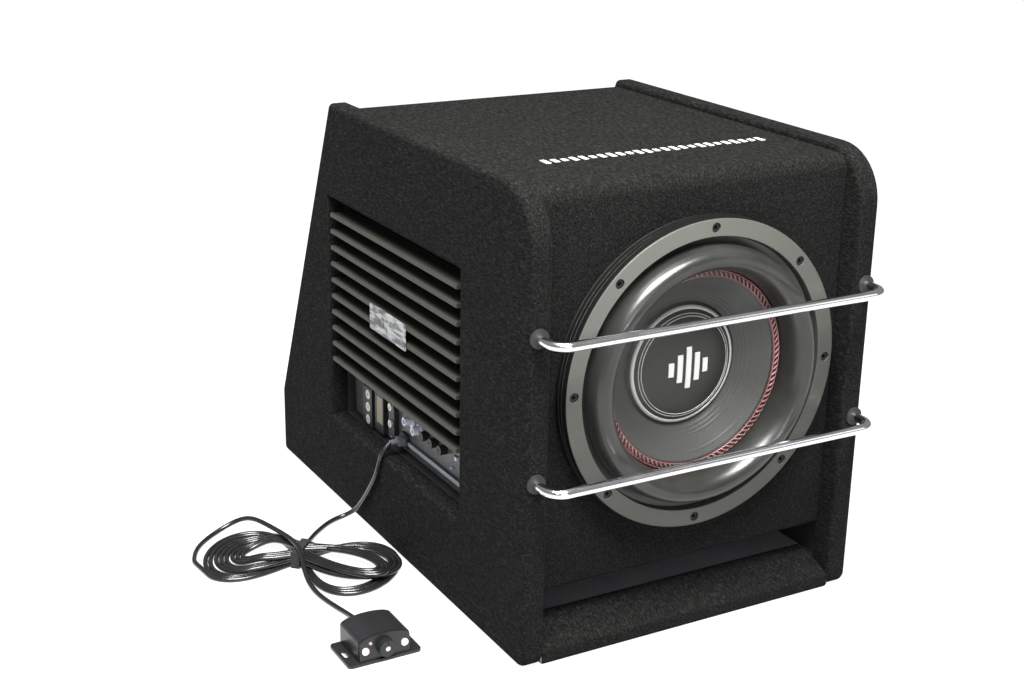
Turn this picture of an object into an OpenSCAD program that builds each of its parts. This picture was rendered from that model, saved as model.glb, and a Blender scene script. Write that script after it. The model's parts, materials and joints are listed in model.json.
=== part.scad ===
// Powered car subwoofer: a carpeted, slot-ported box with a 10-inch driver,
// chrome guard bars, a side-mounted amplifier and a wired level remote.
// Millimetres. +Z up, the driver faces -Y, the amplifier is on the -X side.
// The origin is the centre of the box's underside. Inside the modules Y runs
// back from the front edge of the side panels, and from_front() puts it there.

/* [Enclosure] */
// Width over both carpeted side panels
box_w = 336; // [300:1:420]
// Depth at the floor
box_d = 524; // [430:1:640]
// Height of the side panels
box_h = 400; // [370:1:490]
// Depth of the top edge, less than the depth at the floor
top_d = 383; // [330:1:420]
// Height at which the sloping back turns upright
kink_h = 70; // [40:1:110]
// Thickness of the wooden panels
board_t = 16; // [12:1:18]
// Thickness of the bottom panel
bottom_t = 22; // [16:1:25]
// Thickness of the glued carpet
carpet_t = 1.8; // [1.2:0.1:2.4]
// How far the baffle sits behind the side panels' front edges
front_step = 21; // [15:1:30]
// How far the top and back sit inside the side panels' edges
top_step = 6; // [3:1:12]
// Radius of the side panels' front top corner
panel_round = 47; // [25:1:70]
// Radius of the side panels' front bottom corner
foot_round = 12; // [8:1:20]
// Radius of the crest where the top turns down into the baffle
crest_round = 13; // [6:1:15]

/* [Port] */
// Height of the baffle's lower edge above the floor
slot_high = 56; // [50:1:70]
// Length of the port shelf behind the baffle
shelf_len = 290; // [200:5:330]
// Height of the bottom panel's upright front edge
lip_edge_h = 12; // [8:1:14]
// Depth over which the bottom panel's bevel rises to full height
lip_slope_d = 36; // [28:1:50]
// How far the bottom panel's front sits behind the side panels' fronts
lip_step = 2; // [1:0.5:6]

/* [Driver] */
// Height of the driver's centre
driver_z = 227; // [215:1:235]
// Outer radius of the basket flange
flange_r = 133; // [131:0.5:137]
// Inner radius of the basket flange
flange_in_r = 117.5; // [116.5:0.5:118.5]
// Radius of the mounting bolt circle
bolt_circle_r = 125; // [123:0.5:127]
// Number of mounting screws
screw_count = 8; // [6:1:12]
// Height of the flange over its gasket
flange_h = 14.5; // [10:0.5:18]
// Thickness of the gasket
gasket_t = 3; // [2:0.5:4]
// Radius of the dust cap
cap_r = 54; // [46:1:60]
// Radius of the voice coil former
coil_r = 25; // [20:1:30]
// Radius of the magnet
magnet_r = 72; // [62:1:76]
// Thickness of the magnet
magnet_t = 18; // [12:1:25]
// Free travel of the cone each way
cone_travel = 9; // [5:1:9]

/* [Guard bars] */
// Diameter of the guard bars
bar_d = 8; // [6:0.5:10]
// How far the bars stand in front of the side panels
bar_reach = 27; // [22:1:40]
// Height of the upper bar
bar_high = 285; // [260:1:310]
// Height of the lower bar
bar_low = 165; // [140:1:190]
// Centre-line radius of the bars' bends
bar_bend = 14; // [12:1:18]

/* [Amplifier] */
// Front edge of the cut-out in the left panel
amp_front = 116; // [100:1:130]
// Length of the cut-out
amp_len = 274; // [262:1:284]
// Lower edge of the cut-out
amp_low = 86; // [84:1:96]
// Height of the cut-out
amp_high_h = 226; // [222:1:240]
// Depth from the outer face to the amplifier's plate
amp_depth = 26; // [24:0.5:30]
// Number of heatsink fins
fin_count = 10; // [6:1:10]
// Spacing of the fins
fin_pitch = 16.1; // [14:0.1:16.5]
// Thickness of a fin
fin_t = 4.4; // [2.5:0.1:6]
// Height of the lowest fin's centre
fin_low = 148; // [144:1:152]
// Radius of the level knobs
knob_r = 4.6; // [3.5:0.1:5]
// Travel of the phase switch
switch_travel = 4; // [3:0.5:5]

/* [Remote] */
// Length of the remote over its two ears
remote_w = 66; // [60:1:80]
// Depth of the remote
remote_d = 42; // [36:1:50]
// Height of the remote
remote_h = 25; // [22:1:32]
// Length of the remote's housing between the ears
remote_body_w = 46; // [40:1:50]
// Radius of the remote's knob
remote_knob_r = 7.5; // [6:0.5:8]

/* [Cable] */
// Diameter of the remote's cable
cord_d = 4.5; // [4:0.1:5]

/* [Hidden] */
$fn = 96;

// Small working clearances and overshoot of cutting tools
fit = 0.3;
cut = 1;

// Colours
carpet_grey = "#2e2e2d";
wood_tan = "#b08d5f";
black_plastic = "#17181a";
steel_dark = "#26282a";
flange_grey = "#77776f";
chrome = "#e4e6e8";
silver = "#c2c5c8";

// ---- Enclosure places -------------------------------------------------
side_out = box_w / 2;
side_in = side_out - board_t - 2 * carpet_t;
board_out = side_out - carpet_t;
board_in = board_out - board_t;
slope_n = [box_h - kink_h, box_d - top_d] / norm([box_h - kink_h, box_d - top_d]);
wood_front = front_step + carpet_t;
wood_back = wood_front + board_t;
wood_top = box_h - top_step - carpet_t;
bottom_top = carpet_t + bottom_t;
edge_round = 6;
return_t = carpet_t;
lip_back = 70;
// Glue line between the rear and top boards
glue = 0.05;

function unit(v) = v / norm(v);
// Depth of the back, moved in by inset, at height z; and its height at depth y
function slope_c(inset) = slope_n * [top_d, box_h] - inset;
function rear_at(z, inset) = (slope_c(inset) - slope_n[1] * z) / slope_n[0];
function rise_at(y, inset) = (slope_c(inset) - slope_n[0] * y) / slope_n[1];

// Five corners of a box section: front foot, front top, rear top, kink, rear foot
function section(front, top, rear, low) = [
    [front, low], [front, box_h - top],
    [rear_at(box_h - top, rear), box_h - top],
    [box_d - rear, rise_at(box_d - rear, rear)], [box_d - rear, low]];

// The arc that rounds the corner at b between a and c
function corner_arc(a, b, c, r, n = 8) =
    let (u = unit(a - b), v = unit(c - b), half = acos(u * v) / 2,
         m = b + unit(u + v) * r / sin(half),
         s = b + u * r / tan(half) - m, e = b + v * r / tan(half) - m,
         a0 = atan2(s[1], s[0]), raw = atan2(e[1], e[0]) - a0,
         sweep = raw > 180 ? raw - 360 : raw < -180 ? raw + 360 : raw)
    [for (i = [0:n]) m + r * [cos(a0 + sweep * i / n), sin(a0 + sweep * i / n)]];
function rounded(pts, radii) =
    let (k = len(pts))
    [for (i = [0:k - 1])
        each (radii[i] > 0
            ? corner_arc(pts[(i + k - 1) % k], pts[i], pts[(i + 1) % k], radii[i])
            : [pts[i]])];

function side_outline(s) = rounded(section(s, s, s, s),
    [foot_round - s, panel_round - s, edge_round - s, edge_round - s, edge_round - s]);
function body_outline(s) = rounded(
    section(front_step + s, top_step + s, top_step + s, s),
    [0, crest_round - s, edge_round - s, edge_round - s, edge_round - s]);
lip_outer = [[lip_step, 0], [lip_step, lip_edge_h + carpet_t / 2],
    [lip_slope_d - carpet_t / 2, bottom_top + carpet_t],
    [lip_back, bottom_top + carpet_t], [lip_back, 0]];
bottom_section = [[lip_step + carpet_t, carpet_t], [lip_step + carpet_t, lip_edge_h],
    [lip_slope_d, bottom_top], [box_d - top_step - carpet_t, bottom_top],
    [box_d - top_step - carpet_t, carpet_t]];

module from_front() translate([0, -box_d / 2, 0]) children();
// A section in the YZ plane carried from x0 to x1
module slab(x0, x1) from_front() translate([x0, 0, 0]) rotate([90, 0, 90])
    linear_extrude(x1 - x0) children();
// A block between pairs of coordinates
module block(x, y, z) from_front() translate([x[0], y[0], z[0]])
    cube([x[1] - x[0], y[1] - y[0], z[1] - z[0]]);
// Puts a part made along +Z at the driver's axis, +Z pointing into the box
module on_driver(y = 0) from_front() translate([0, y, driver_z]) rotate([-90, 0, 0])
    children();
// Puts a part made along +Z on the left side, +Z pointing out of the box
module on_left(x, y, z) from_front() translate([x, y, z]) rotate([0, -90, 0]) children();
module tube(r_out, r_in, h) difference() {
    cylinder(r = r_out, h = h);
    translate([0, 0, -cut]) cylinder(r = r_in, h = h + 2 * cut);
}

// ---- Enclosure --------------------------------------------------------
amp_rear = amp_front + amp_len;
amp_high = amp_low + amp_high_h;
bar_x = side_out - (board_t + 2 * carpet_t) / 2 + 2;
bar_pocket = 24;
bar_spigot_r = 3;

module side_board(cutout) difference() {
    slab(board_in, board_out) polygon(side_outline(carpet_t));
    for (z = [bar_low, bar_high]) from_front() translate([bar_x, 0, z])
        rotate([-90, 0, 0]) cylinder(r = bar_spigot_r + fit, h = bar_pocket, $fn = 32);
    if (cutout) block([board_in - cut, board_out + cut],
        [amp_front - carpet_t, amp_rear + carpet_t],
        [amp_low - carpet_t, amp_high + carpet_t]);
}
module side_skin(cutout) difference() {
    slab(side_in, side_out) difference() {
        polygon(side_outline(0));
        if (cutout) translate([amp_front, amp_low]) square([amp_len, amp_high_h]);
    }
    slab(board_in, board_out) difference() {
        polygon(side_outline(carpet_t));
        if (cutout) translate([amp_front - carpet_t, amp_low - carpet_t])
            square([amp_len + 2 * carpet_t, amp_high_h + 2 * carpet_t]);
    }
    slab(side_in - cut, board_in) polygon(body_outline(0));
    slab(side_in - cut, board_in) polygon(lip_outer);
    for (z = [bar_low, bar_high]) from_front() translate([bar_x, -cut, z])
        rotate([-90, 0, 0]) cylinder(r = bar_spigot_r + fit, h = 2 * cut + carpet_t, $fn = 32);
}
module side_panel_left() color(wood_tan) mirror([1, 0, 0]) side_board(true);
module side_panel_right() color(wood_tan) side_board(false);
module side_carpet_left() color(carpet_grey) mirror([1, 0, 0]) side_skin(true);
module side_carpet_right() color(carpet_grey) side_skin(false);

basket_r = flange_in_r + 1;
driver_hole_r = basket_r + 0.7;
screw_r = 2.5;
module screw_ring(y = 0) on_driver(y) for (i = [0:screw_count - 1])
    rotate([0, 0, 1.2 + i * 360 / screw_count]) translate([bolt_circle_r, 0, 0]) children();

shelf_top = slot_high + carpet_t + board_t;
top_under = wood_top - board_t;
foot_z = rise_at(box_d - top_step - carpet_t - board_t, top_step + carpet_t + board_t);
module front_baffle() color(wood_tan) difference() {
    block([-board_in, board_in], [wood_front, wood_back], [slot_high + carpet_t, top_under]);
    on_driver(wood_front - cut) cylinder(r = driver_hole_r, h = board_t + 2 * cut);
    screw_ring(wood_front - cut) cylinder(r = screw_r + 0.1, h = board_t + 2 * cut, $fn = 24);
}
module body_ring() difference() {
    polygon(body_outline(carpet_t));
    polygon(section(wood_back, box_h - top_under, top_step + carpet_t + board_t, bottom_top));
}
module top_panel() color(wood_tan) slab(-board_in, board_in) intersection() {
    body_ring();
    translate([0, top_under]) square([box_d, box_h]);
}
module rear_panel() color(wood_tan) slab(-board_in, board_in) intersection() {
    body_ring();
    translate([top_d / 2, foot_z]) square([box_d, top_under - glue - foot_z]);
}
module rear_foot_panel() color(wood_tan) slab(-board_in, board_in) intersection() {
    body_ring();
    translate([top_d / 2, bottom_top]) square([box_d, foot_z - bottom_top]);
}
module bottom_panel() color(wood_tan) slab(-board_in, board_in) intersection() {
    polygon(bottom_section);
    union() {
        polygon(body_outline(carpet_t));
        square([lip_back, bottom_top]);
    }
}
module port_shelf() color(wood_tan)
    block([-board_in, board_in], [wood_back, wood_back + shelf_len],
        [slot_high + carpet_t, shelf_top]);
module body_carpet() color(carpet_grey) difference() {
    slab(-board_in, board_in) {
        difference() {
            polygon(body_outline(0));
            polygon(body_outline(carpet_t));
            translate([-cut, -cut]) square([wood_front + 2 * cut, slot_high + cut]);
        }
        translate([front_step, slot_high]) square([wood_back - front_step, return_t]);
        difference() {
            polygon(lip_outer);
            polygon(bottom_section);
        }
    }
    on_driver(front_step - cut) cylinder(r = driver_hole_r, h = 3 * carpet_t);
    screw_ring(front_step - cut) cylinder(r = screw_r + 0.1, h = 3 * carpet_t, $fn = 24);
}

// ---- Guard bars -------------------------------------------------------
washer_r = 8;
washer_t = 1.6;
module bend_quarter() rotate_extrude(angle = 90, $fn = 64) translate([bar_bend, 0])
    circle(d = bar_d, $fn = 32);
module guard_bar(z) from_front() translate([0, 0, z]) {
    straight = bar_x - bar_bend;
    for (side = [-1, 1]) {
        translate([side * bar_x, -bar_reach + bar_bend, 0]) rotate([-90, 0, 0])
            cylinder(d = bar_d, h = bar_reach - bar_bend - washer_t, $fn = 32);
        translate([side * bar_x, -washer_t - cut, 0]) rotate([-90, 0, 0])
            cylinder(r = bar_spigot_r, h = bar_pocket - 2, $fn = 32);
    }
    translate([straight, bar_bend - bar_reach, 0]) rotate([0, 0, 270]) bend_quarter();
    translate([-straight, bar_bend - bar_reach, 0]) rotate([0, 0, 180]) bend_quarter();
    translate([-straight, -bar_reach, 0]) rotate([0, 90, 0])
        cylinder(d = bar_d, h = 2 * straight, $fn = 32);
}
module guard_bar_upper() color(chrome) guard_bar(bar_high);
module guard_bar_lower() color(chrome) guard_bar(bar_low);
module bar_washers() color(black_plastic) for (side = [-1, 1], z = [bar_low, bar_high])
    from_front() translate([side * bar_x, -washer_t, z]) rotate([-90, 0, 0])
        tube(washer_r, bar_spigot_r + 0.2, washer_t);

// ---- Driver -----------------------------------------------------------
flange_y = front_step - gasket_t - flange_h;
flange_back = front_step - gasket_t;
ledge_r = flange_in_r - 10.5;
roll_out_r = flange_in_r - 7;
roll_in_r = cap_r + 33.5;
roll_mid_r = (roll_out_r + roll_in_r) / 2;
roll_half = (roll_out_r - roll_in_r) / 2;
roll_h = 23;
roll_t = 1.4;
roll_out_y = flange_y + 7.5;
roll_in_y = flange_y + 14;
land_w = 8;
land_r = roll_in_r - land_w;
cone_t = 1.2;
land_y = roll_in_y + roll_t;
neck_y = land_y + 43;
neck_r = coil_r + 1.2;
former_t = 0.5;
coil_t = 1.2;
coil_len = 20;
plate_y = land_y + 81;
plate_t = 8;
magnet_y = plate_y + plate_t;
pole_y = magnet_y + magnet_t;
pole_plate_t = 10;
pole_r = coil_r - former_t - 1.1;
gap_r = coil_r + coil_t + 1;
former_end = pole_y - cone_travel - 1.2;
coil_y = plate_y + plate_t / 2 - coil_len / 2;
spider_y = plate_y - 16;
spider_out_r = magnet_r + 3;
spider_t = 0.8;
shelf_r = magnet_r + 6;
plate_r = magnet_r - 2;
basket_deep = flange_y + 42;

module driver_gasket() color("#0e0e0e") difference() {
    on_driver(flange_back) tube(flange_r - 1, driver_hole_r, gasket_t);
    screw_ring(flange_back - cut) cylinder(r = screw_r + fit, h = gasket_t + 2 * cut, $fn = 24);
}
module basket() color(flange_grey) difference() {
    on_driver() rotate_extrude($fn = 160) {
        // Flange with two grooves round its wall
        difference() {
            polygon(rounded([[flange_in_r, flange_y], [flange_r, flange_y],
                [flange_r, flange_back], [ledge_r, flange_back],
                [ledge_r, roll_out_y + roll_t], [flange_in_r, roll_out_y + roll_t]],
                [0.8, 1.6, 0, 0, 0, 0]));
            for (y = [flange_y + 5.5, flange_y + 10]) translate([flange_r - 0.9, y])
                square([2, 1.3]);
        }
        // Upright wall, cone of spokes and back ring
        translate([basket_r - 3.5, flange_back - cut])
            square([3.5, basket_deep - flange_back + cut]);
        polygon([[basket_r - 3.5, basket_deep - 3], [basket_r, basket_deep],
            [shelf_r, plate_y - 4], [shelf_r - 4.5, plate_y - 4]]);
        translate([neck_r + 6, plate_y - 4]) square([shelf_r - neck_r - 6, 4]);
        translate([spider_out_r - 6, spider_y + spider_t])
            square([shelf_r + 4 - spider_out_r, 3]);
    }
    // Windows between the six spokes
    on_driver() for (i = [0:5]) rotate([0, 0, 60 * i])
        translate([spider_out_r + 6, -23, basket_deep - 8]) cube([80, 46, 34]);
    screw_ring(flange_y - cut) cylinder(r = screw_r + fit, h = flange_h + 2 * cut, $fn = 24);
    screw_ring(flange_y - cut) cylinder(r = 4.2, h = 4.6 + cut, $fn = 32);
}
module driver_screws() color("#101010") screw_ring(flange_y) {
    translate([0, 0, 1.4]) difference() {
        cylinder(r = 3.8, h = 3.2, $fn = 32);
        translate([0, 0, -cut]) cylinder(r = 2, h = 2 + cut, $fn = 6);
    }
    translate([0, 0, 4.5]) cylinder(r = screw_r, h = flange_h + gasket_t + board_t - 6, $fn = 24);
}

// The roll is half an ellipse whose base slants from the flange to the cone
function roll_pt(t, off) = [roll_mid_r + (roll_half + off) * cos(t),
    roll_out_y + roll_t + (roll_in_y - roll_out_y) * (1 - cos(t)) / 2 - (roll_h + off) * sin(t)];
module surround() color("#3c3d3e") on_driver() rotate_extrude($fn = 120)
    polygon(concat(
        [[flange_in_r - 0.7, roll_out_y + roll_t], [flange_in_r - 0.7, roll_out_y]],
        [for (t = [0:12:180]) roll_pt(t, 0)],
        [[land_r + 0.4, roll_in_y], [land_r + 0.4, roll_in_y + roll_t]],
        [for (t = [180:-12:0]) roll_pt(t, -roll_t)]));
module cone() color("#4e4e4c") on_driver() rotate_extrude($fn = 120) polygon([
    [roll_in_r - 1.6, land_y], [roll_in_r - 1.6, land_y + cone_t], [land_r, land_y + cone_t],
    [neck_r, neck_y + cone_t], [coil_r + 0.1, neck_y + cone_t], [coil_r + 0.1, neck_y - 1],
    [neck_r - 1, neck_y - 1], [land_r, land_y]]);
module cone_stitching() color("#8e3434") on_driver() rotate_extrude($fn = 96)
    translate([land_r + 1, roll_in_y - 1.1]) square([land_w - 2.4, 1.1]);

cone_slope = (neck_y - 1 - land_y) / (land_r - neck_r + 1);
cap_base_y = land_y + (land_r - cap_r) * cone_slope - 0.1;
cap_h = 11;
cap_t = 1;
// Depth of the dust cap's face at radius r
function cap_y(r) = cap_base_y - cap_h * (1 - pow(r / cap_r, 2.8));
module cap_band(r0, r1, proud) rotate_extrude($fn = 120) polygon(concat(
    [for (i = [0:6]) let (r = r0 + (r1 - r0) * i / 6) [r, cap_y(r) - proud]],
    [for (i = [6:-1:0]) let (r = r0 + (r1 - r0) * i / 6) [r, cap_y(r) - 0.08]]));
module dust_cap() color("#2a2a2a") on_driver() rotate_extrude($fn = 120) polygon(concat(
    [for (i = [0:16]) let (r = cap_r * i / 16) [r, cap_y(r)]],
    [for (i = [16:-1:0]) let (r = (cap_r - 1.2) * i / 16) [r, cap_y(r) + cap_t]]));
module cap_rings() color(silver) on_driver() {
    cap_band(cap_r - 6.2, cap_r - 2.4, 1);
    cap_band(cap_r - 12, cap_r - 10.2, 0.8);
}
badge_bars = [12, 24, 36, 24, 12];
module cap_badge() color("#e8e8ea") intersection() {
    on_driver() cap_band(0, 30, 1);
    on_driver() for (i = [0:4]) translate([(i - 2) * 8.5 - 2.5, -badge_bars[i] / 2, 0])
        cube([5, badge_bars[i], 60]);
}
module voice_coil_former() color("#b98a4a") on_driver(neck_y - 1)
    tube(coil_r, coil_r - former_t, former_end - neck_y + 1);
module voice_coil() color("#a4562c") on_driver(coil_y) tube(coil_r + coil_t, coil_r, coil_len);
// Corrugated disc: a sine wave along the radius
function wave_y(r) = 1.6 * sin((r - coil_r) / (spider_out_r - coil_r) * 360 * 4);
module spider() color("#c9a24a") on_driver(spider_y) rotate_extrude($fn = 64) polygon(concat(
    [for (i = [0:32]) let (r = coil_r + (spider_out_r - coil_r) * i / 32) [r, wave_y(r)]],
    [for (i = [32:-1:0]) let (r = coil_r + (spider_out_r - coil_r) * i / 32)
        [r, wave_y(r) + spider_t]]));
module top_plate() color("#8b8d90") on_driver(plate_y) tube(plate_r, gap_r, plate_t);
module magnet() color("#2b2b2d") on_driver(magnet_y) tube(magnet_r, gap_r + 10, magnet_t);
module pole_plate() color("#8b8d90") difference() {
    union() {
        on_driver(pole_y) cylinder(r = plate_r, h = pole_plate_t);
        on_driver(plate_y) cylinder(r = pole_r, h = pole_y - plate_y + 0.5);
    }
    on_driver(plate_y - cut) cylinder(r = 8, h = pole_y - plate_y + pole_plate_t + 2 * cut);
}

// ---- Amplifier --------------------------------------------------------
plate_x = -side_out + amp_depth;
tray_t = 1.5;
tray_rim = 12;
inner_x = -board_in;
panel_x = plate_x - tray_t;
panel_low = amp_low + 3;
panel_high = fin_low - fin_t / 2 - 1.5;
amp_margin = 6;
sink_y = [amp_front + amp_margin, amp_rear - amp_margin];
fin_tip_x = -side_out + 0.4;
sink_base_t = 5;
knob_y = [amp_front + 107, amp_front + 89, amp_front + 71];
knob_z = amp_low + 35;
shaft_r = 2.6;
knob_l = 7;
switch_y = amp_front + 49;
switch_z = knob_z;
rca_y = [amp_front + 140, amp_front + 122];
rca_z = [amp_low + 38, amp_low + 35];
jack_y = amp_front + 152;
jack_z = amp_low + 14;
power_y = amp_front + 227;
power_z = amp_low + 22;
screw_pitch = 12.8;
input_z = [power_z + 1, power_z + 18];
input_y = amp_front + 175;
fuse_y = amp_front + 202;
slot_y = amp_front + 208;
led_y = amp_front + 58;
led_z = amp_low + 22;
cover_depth = 42;

module amp_tray() color(steel_dark) difference() {
    union() {
        slab(inner_x, inner_x + tray_t) intersection() {
            translate([amp_front - tray_rim, amp_low - 8])
                square([amp_len + 2 * tray_rim, amp_high_h + 8 + tray_rim]);
            polygon(section(wood_back, box_h - top_under + fit,
                top_step + carpet_t + board_t + fit, shelf_top + fit));
        }
        block([inner_x, plate_x + tray_t], [amp_front - tray_t, amp_rear + tray_t],
            [amp_low - tray_t, amp_high + tray_t]);
    }
    block([inner_x - cut, plate_x], [amp_front, amp_rear], [amp_low, amp_high]);
    for (y = knob_y) on_left(plate_x + tray_t + cut, y, knob_z)
        cylinder(r = shaft_r + 0.5, h = 2 * cut + tray_t, $fn = 32);
    block([plate_x - cut, plate_x + tray_t + cut], [switch_y - 5, switch_y + 5],
        [switch_z - 2, switch_z + 2]);
    block([plate_x - cut, plate_x + tray_t + cut], [jack_y - 6.7, jack_y + 6.7],
        [jack_z - 6.7, jack_z + 6.7]);
    tray_screws(inner_x + tray_t + cut) cylinder(r = 1.9, h = tray_t + 2 * cut, $fn = 24);
}
// The eight places of the tray's fixing screws
module tray_screws(x) for (y = [amp_front - 6.5, amp_rear + 6.5],
        z = [amp_low + 20, (amp_low + amp_high) / 2, amp_high - 20])
    on_left(x, y, z) children();
module amp_cover() color("#8f9396") difference() {
    x0 = plate_x + tray_t;
    block([x0, x0 + cover_depth], [sink_y[0], sink_y[1]], [amp_low + 4, amp_high - 6]);
    block([x0 - cut, x0 + cover_depth - tray_t], [sink_y[0] + tray_t, sink_y[1] - tray_t],
        [amp_low + 4 + tray_t, amp_high - 6 - tray_t]);
    on_left(x0 + cover_depth + cut, amp_front + 40, amp_high - 40)
        cylinder(r = 5, h = 2 * cut + tray_t, $fn = 32);
}
fins_low = fin_low - fin_t / 2;
fins_high = fin_low + (fin_count - 1) * fin_pitch + fin_t / 2;
module heatsink() color("#34352f") {
    block([plate_x - sink_base_t, plate_x], sink_y, [fins_low, fins_high]);
    for (i = [0:fin_count - 1]) let (z = fin_low + i * fin_pitch) {
        block([fin_tip_x, plate_x - sink_base_t + 0.5], sink_y,
            [z - fin_t / 2 + 0.5, z + fin_t / 2 - 0.5]);
        from_front() translate([fin_tip_x + fin_t / 2 - 0.1, sink_y[0], z])
            rotate([-90, 0, 0]) cylinder(d = fin_t, h = sink_y[1] - sink_y[0], $fn = 24);
    }
}
badge_y = [amp_front + 102, amp_front + 176];
badge_z = fin_low + fin_pitch * 4.45;
module heatsink_badge() color(silver) difference() {
    block([fin_tip_x - 1.3, fin_tip_x - 0.1], badge_y, [badge_z - 12, badge_z + 12]);
    for (i = [0:4]) block([fin_tip_x - 1.3 - cut, fin_tip_x - 0.9],
        [badge_y[0] + 22 + i * 7, badge_y[0] + 25 + i * 7],
        [badge_z - badge_bars[i] / 5, badge_z + badge_bars[i] / 5]);
}
module connector_panel() color("#b9bcc0") difference() {
    union() {
        block([panel_x, plate_x], sink_y, [panel_low, panel_high]);
        block([panel_x - 3, panel_x], [sink_y[0], jack_y - 8], [panel_low + 8, panel_low + 12]);
    }
    for (y = knob_y) on_left(plate_x + cut, y, knob_z)
        cylinder(r = shaft_r + 0.5, h = 2 * cut + tray_t, $fn = 32);
    for (i = [0, 1]) on_left(plate_x + cut, rca_y[i], rca_z[i]) cylinder(r = 4.6, h = 2 * cut + tray_t, $fn = 32);
    on_left(plate_x + cut, led_y, led_z) cylinder(r = 1.7, h = 2 * cut + tray_t, $fn = 24);
    block([panel_x - cut, plate_x + cut], [switch_y - 5, switch_y + 5],
        [switch_z - 2, switch_z + 2]);
    block([panel_x - cut, plate_x + cut], [jack_y - 6.7, jack_y + 6.7],
        [jack_z - 6.7, jack_z + 6.7]);
    for (y = [input_y + 9, input_y - 10], z = [panel_low + 4])
        on_left(plate_x + cut, y, z) cylinder(r = 1.2, h = 2 * cut + tray_t, $fn = 24);
}
module power_terminal() color(black_plastic) difference() {
    block([panel_x - 6, panel_x], [power_y - 9, power_y + 11], [power_z - 20, power_z + 20]);
    for (k = [-1:1]) {
        on_left(panel_x - 3.5, power_y, power_z + k * screw_pitch)
            cylinder(r = 5.2, h = 4, $fn = 32);
        on_left(panel_x - 0.5, power_y, power_z + k * screw_pitch)
            cylinder(r = 2.1, h = 4, $fn = 24);
    }
}
module input_terminal() color(black_plastic) difference() {
    block([panel_x - 5, panel_x], [input_y - 6, input_y + 6], [power_z - 12, power_z + 24]);
    for (z = input_z) on_left(panel_x - 0.5, input_y, z)
        cylinder(r = 2.1, h = 5, $fn = 24);
}
module cross_screw(r, h, shank) {
    difference() {
        cylinder(r = r, h = h, $fn = 32);
        for (a = [0, 90]) rotate([0, 0, a]) translate([-r * 0.6, -0.45, h * 0.55])
            cube([r * 1.2, 0.9, h]);
    }
    translate([0, 0, -shank]) cylinder(r = 2, h = shank, $fn = 24);
}
module terminal_screws() color(chrome) {
    for (k = [-1:1]) on_left(panel_x - 3.5, power_y, power_z + k * screw_pitch)
        cross_screw(4.7, 2.6, 2.8);
    for (z = input_z) on_left(panel_x - 5, input_y, z) cross_screw(3.8, 2, 4.3);
}
module fuse_holder() color(black_plastic) difference() {
    block([panel_x - 5, panel_x], [fuse_y - 8.5, slot_y + 4.5], [power_z - 18, power_z + 22]);
    block([panel_x - 6, panel_x - 1], [fuse_y - 7, fuse_y + 7], [power_z - 9, power_z + 19]);
}
module fuse() color("#c08a3a") {
    block([panel_x - 5, panel_x - 2.5], [fuse_y - 6.5, fuse_y + 6.5], [power_z - 8.5, power_z + 18.5]);
    block([panel_x - 2.5, panel_x - 1], [fuse_y - 3, fuse_y + 3], [power_z - 6, power_z + 16]);
}
module rca_jacks() color("#dfe6ee") for (i = [0, 1]) {
    on_left(panel_x, rca_y[i], rca_z[i]) {
        tube(6.6, 1.8, 1.6);
        tube(4.15, 2.4, 9);
    }
    on_left(plate_x, rca_y[i], rca_z[i]) tube(4.3, 1.8, tray_t);
}
module level_knob(i) on_left(panel_x, knob_y[i], knob_z) {
    translate([0, 0, 0.5]) difference() {
        cylinder(r = knob_r, h = knob_l, $fn = 48);
        translate([-0.5, 0, knob_l - 0.8]) cube([1, knob_r + 1, 2]);
        for (a = [0:30:359]) rotate([0, 0, a + 15]) translate([knob_r + 0.3, 0, 1.5])
            cylinder(r = 0.7, h = knob_l, $fn = 16);
    }
    translate([0, 0, -tray_t * 2 - 6]) cylinder(r = shaft_r, h = tray_t * 2 + 7, $fn = 32);
}
module gain_knob() color(black_plastic) level_knob(0);
module lowpass_knob() color(black_plastic) level_knob(1);
module boost_knob() color(black_plastic) level_knob(2);
module phase_switch() color("#d9dadb")
    block([panel_x - 3, plate_x + tray_t + 2],
        [switch_y - 1.8 - switch_travel / 2, switch_y + 1.8 - switch_travel / 2],
        [switch_z - 1.7, switch_z + 1.7]);
module power_led() color("#9fb8ff") on_left(plate_x, led_y, led_z) {
    cylinder(r = 1.5, h = 3, $fn = 24);
    translate([0, 0, 3]) sphere(r = 1.5, $fn = 24);
}
module remote_jack() color(black_plastic) difference() {
    block([panel_x - 3, plate_x + tray_t + 8], [jack_y - 6.5, jack_y + 6.5],
        [jack_z - 6.5, jack_z + 6.5]);
    block([panel_x - 4, plate_x + tray_t + 6], [jack_y - 5.1, jack_y + 5.1],
        [jack_z - 3.9, jack_z + 3.9]);
}
board_x = plate_x + tray_t + 10;
board_y = [sink_y[0] + 5, sink_y[1] - 5];
module amp_board() color("#1f5a38") difference() {
    block([board_x, board_x + 1.6], board_y, [amp_low + 10, amp_high - 14]);
    for (y = [board_y[0] + 6, board_y[1] - 6], z = [amp_low + 16, amp_high - 20])
        on_left(board_x + 2 + cut, y, z) cylinder(r = 1.8, h = 2 + 2 * cut, $fn = 24);
}
module amp_capacitors() color("#23262c") {
    for (i = [0:3]) on_left(board_x + 1.6 + 24, amp_front + 60 + i * 26, amp_high - 60)
        cylinder(r = 9, h = 24, $fn = 40);
    on_left(board_x + 1.6 + 18, amp_front + 200, amp_high - 110)
        tube(20, 9, 18);
    for (i = [0:5]) block([board_x + 1.6, board_x + 6.2],
        [amp_front + 40 + i * 30, amp_front + 56 + i * 30], [amp_low + 40, amp_low + 56]);
}
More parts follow.
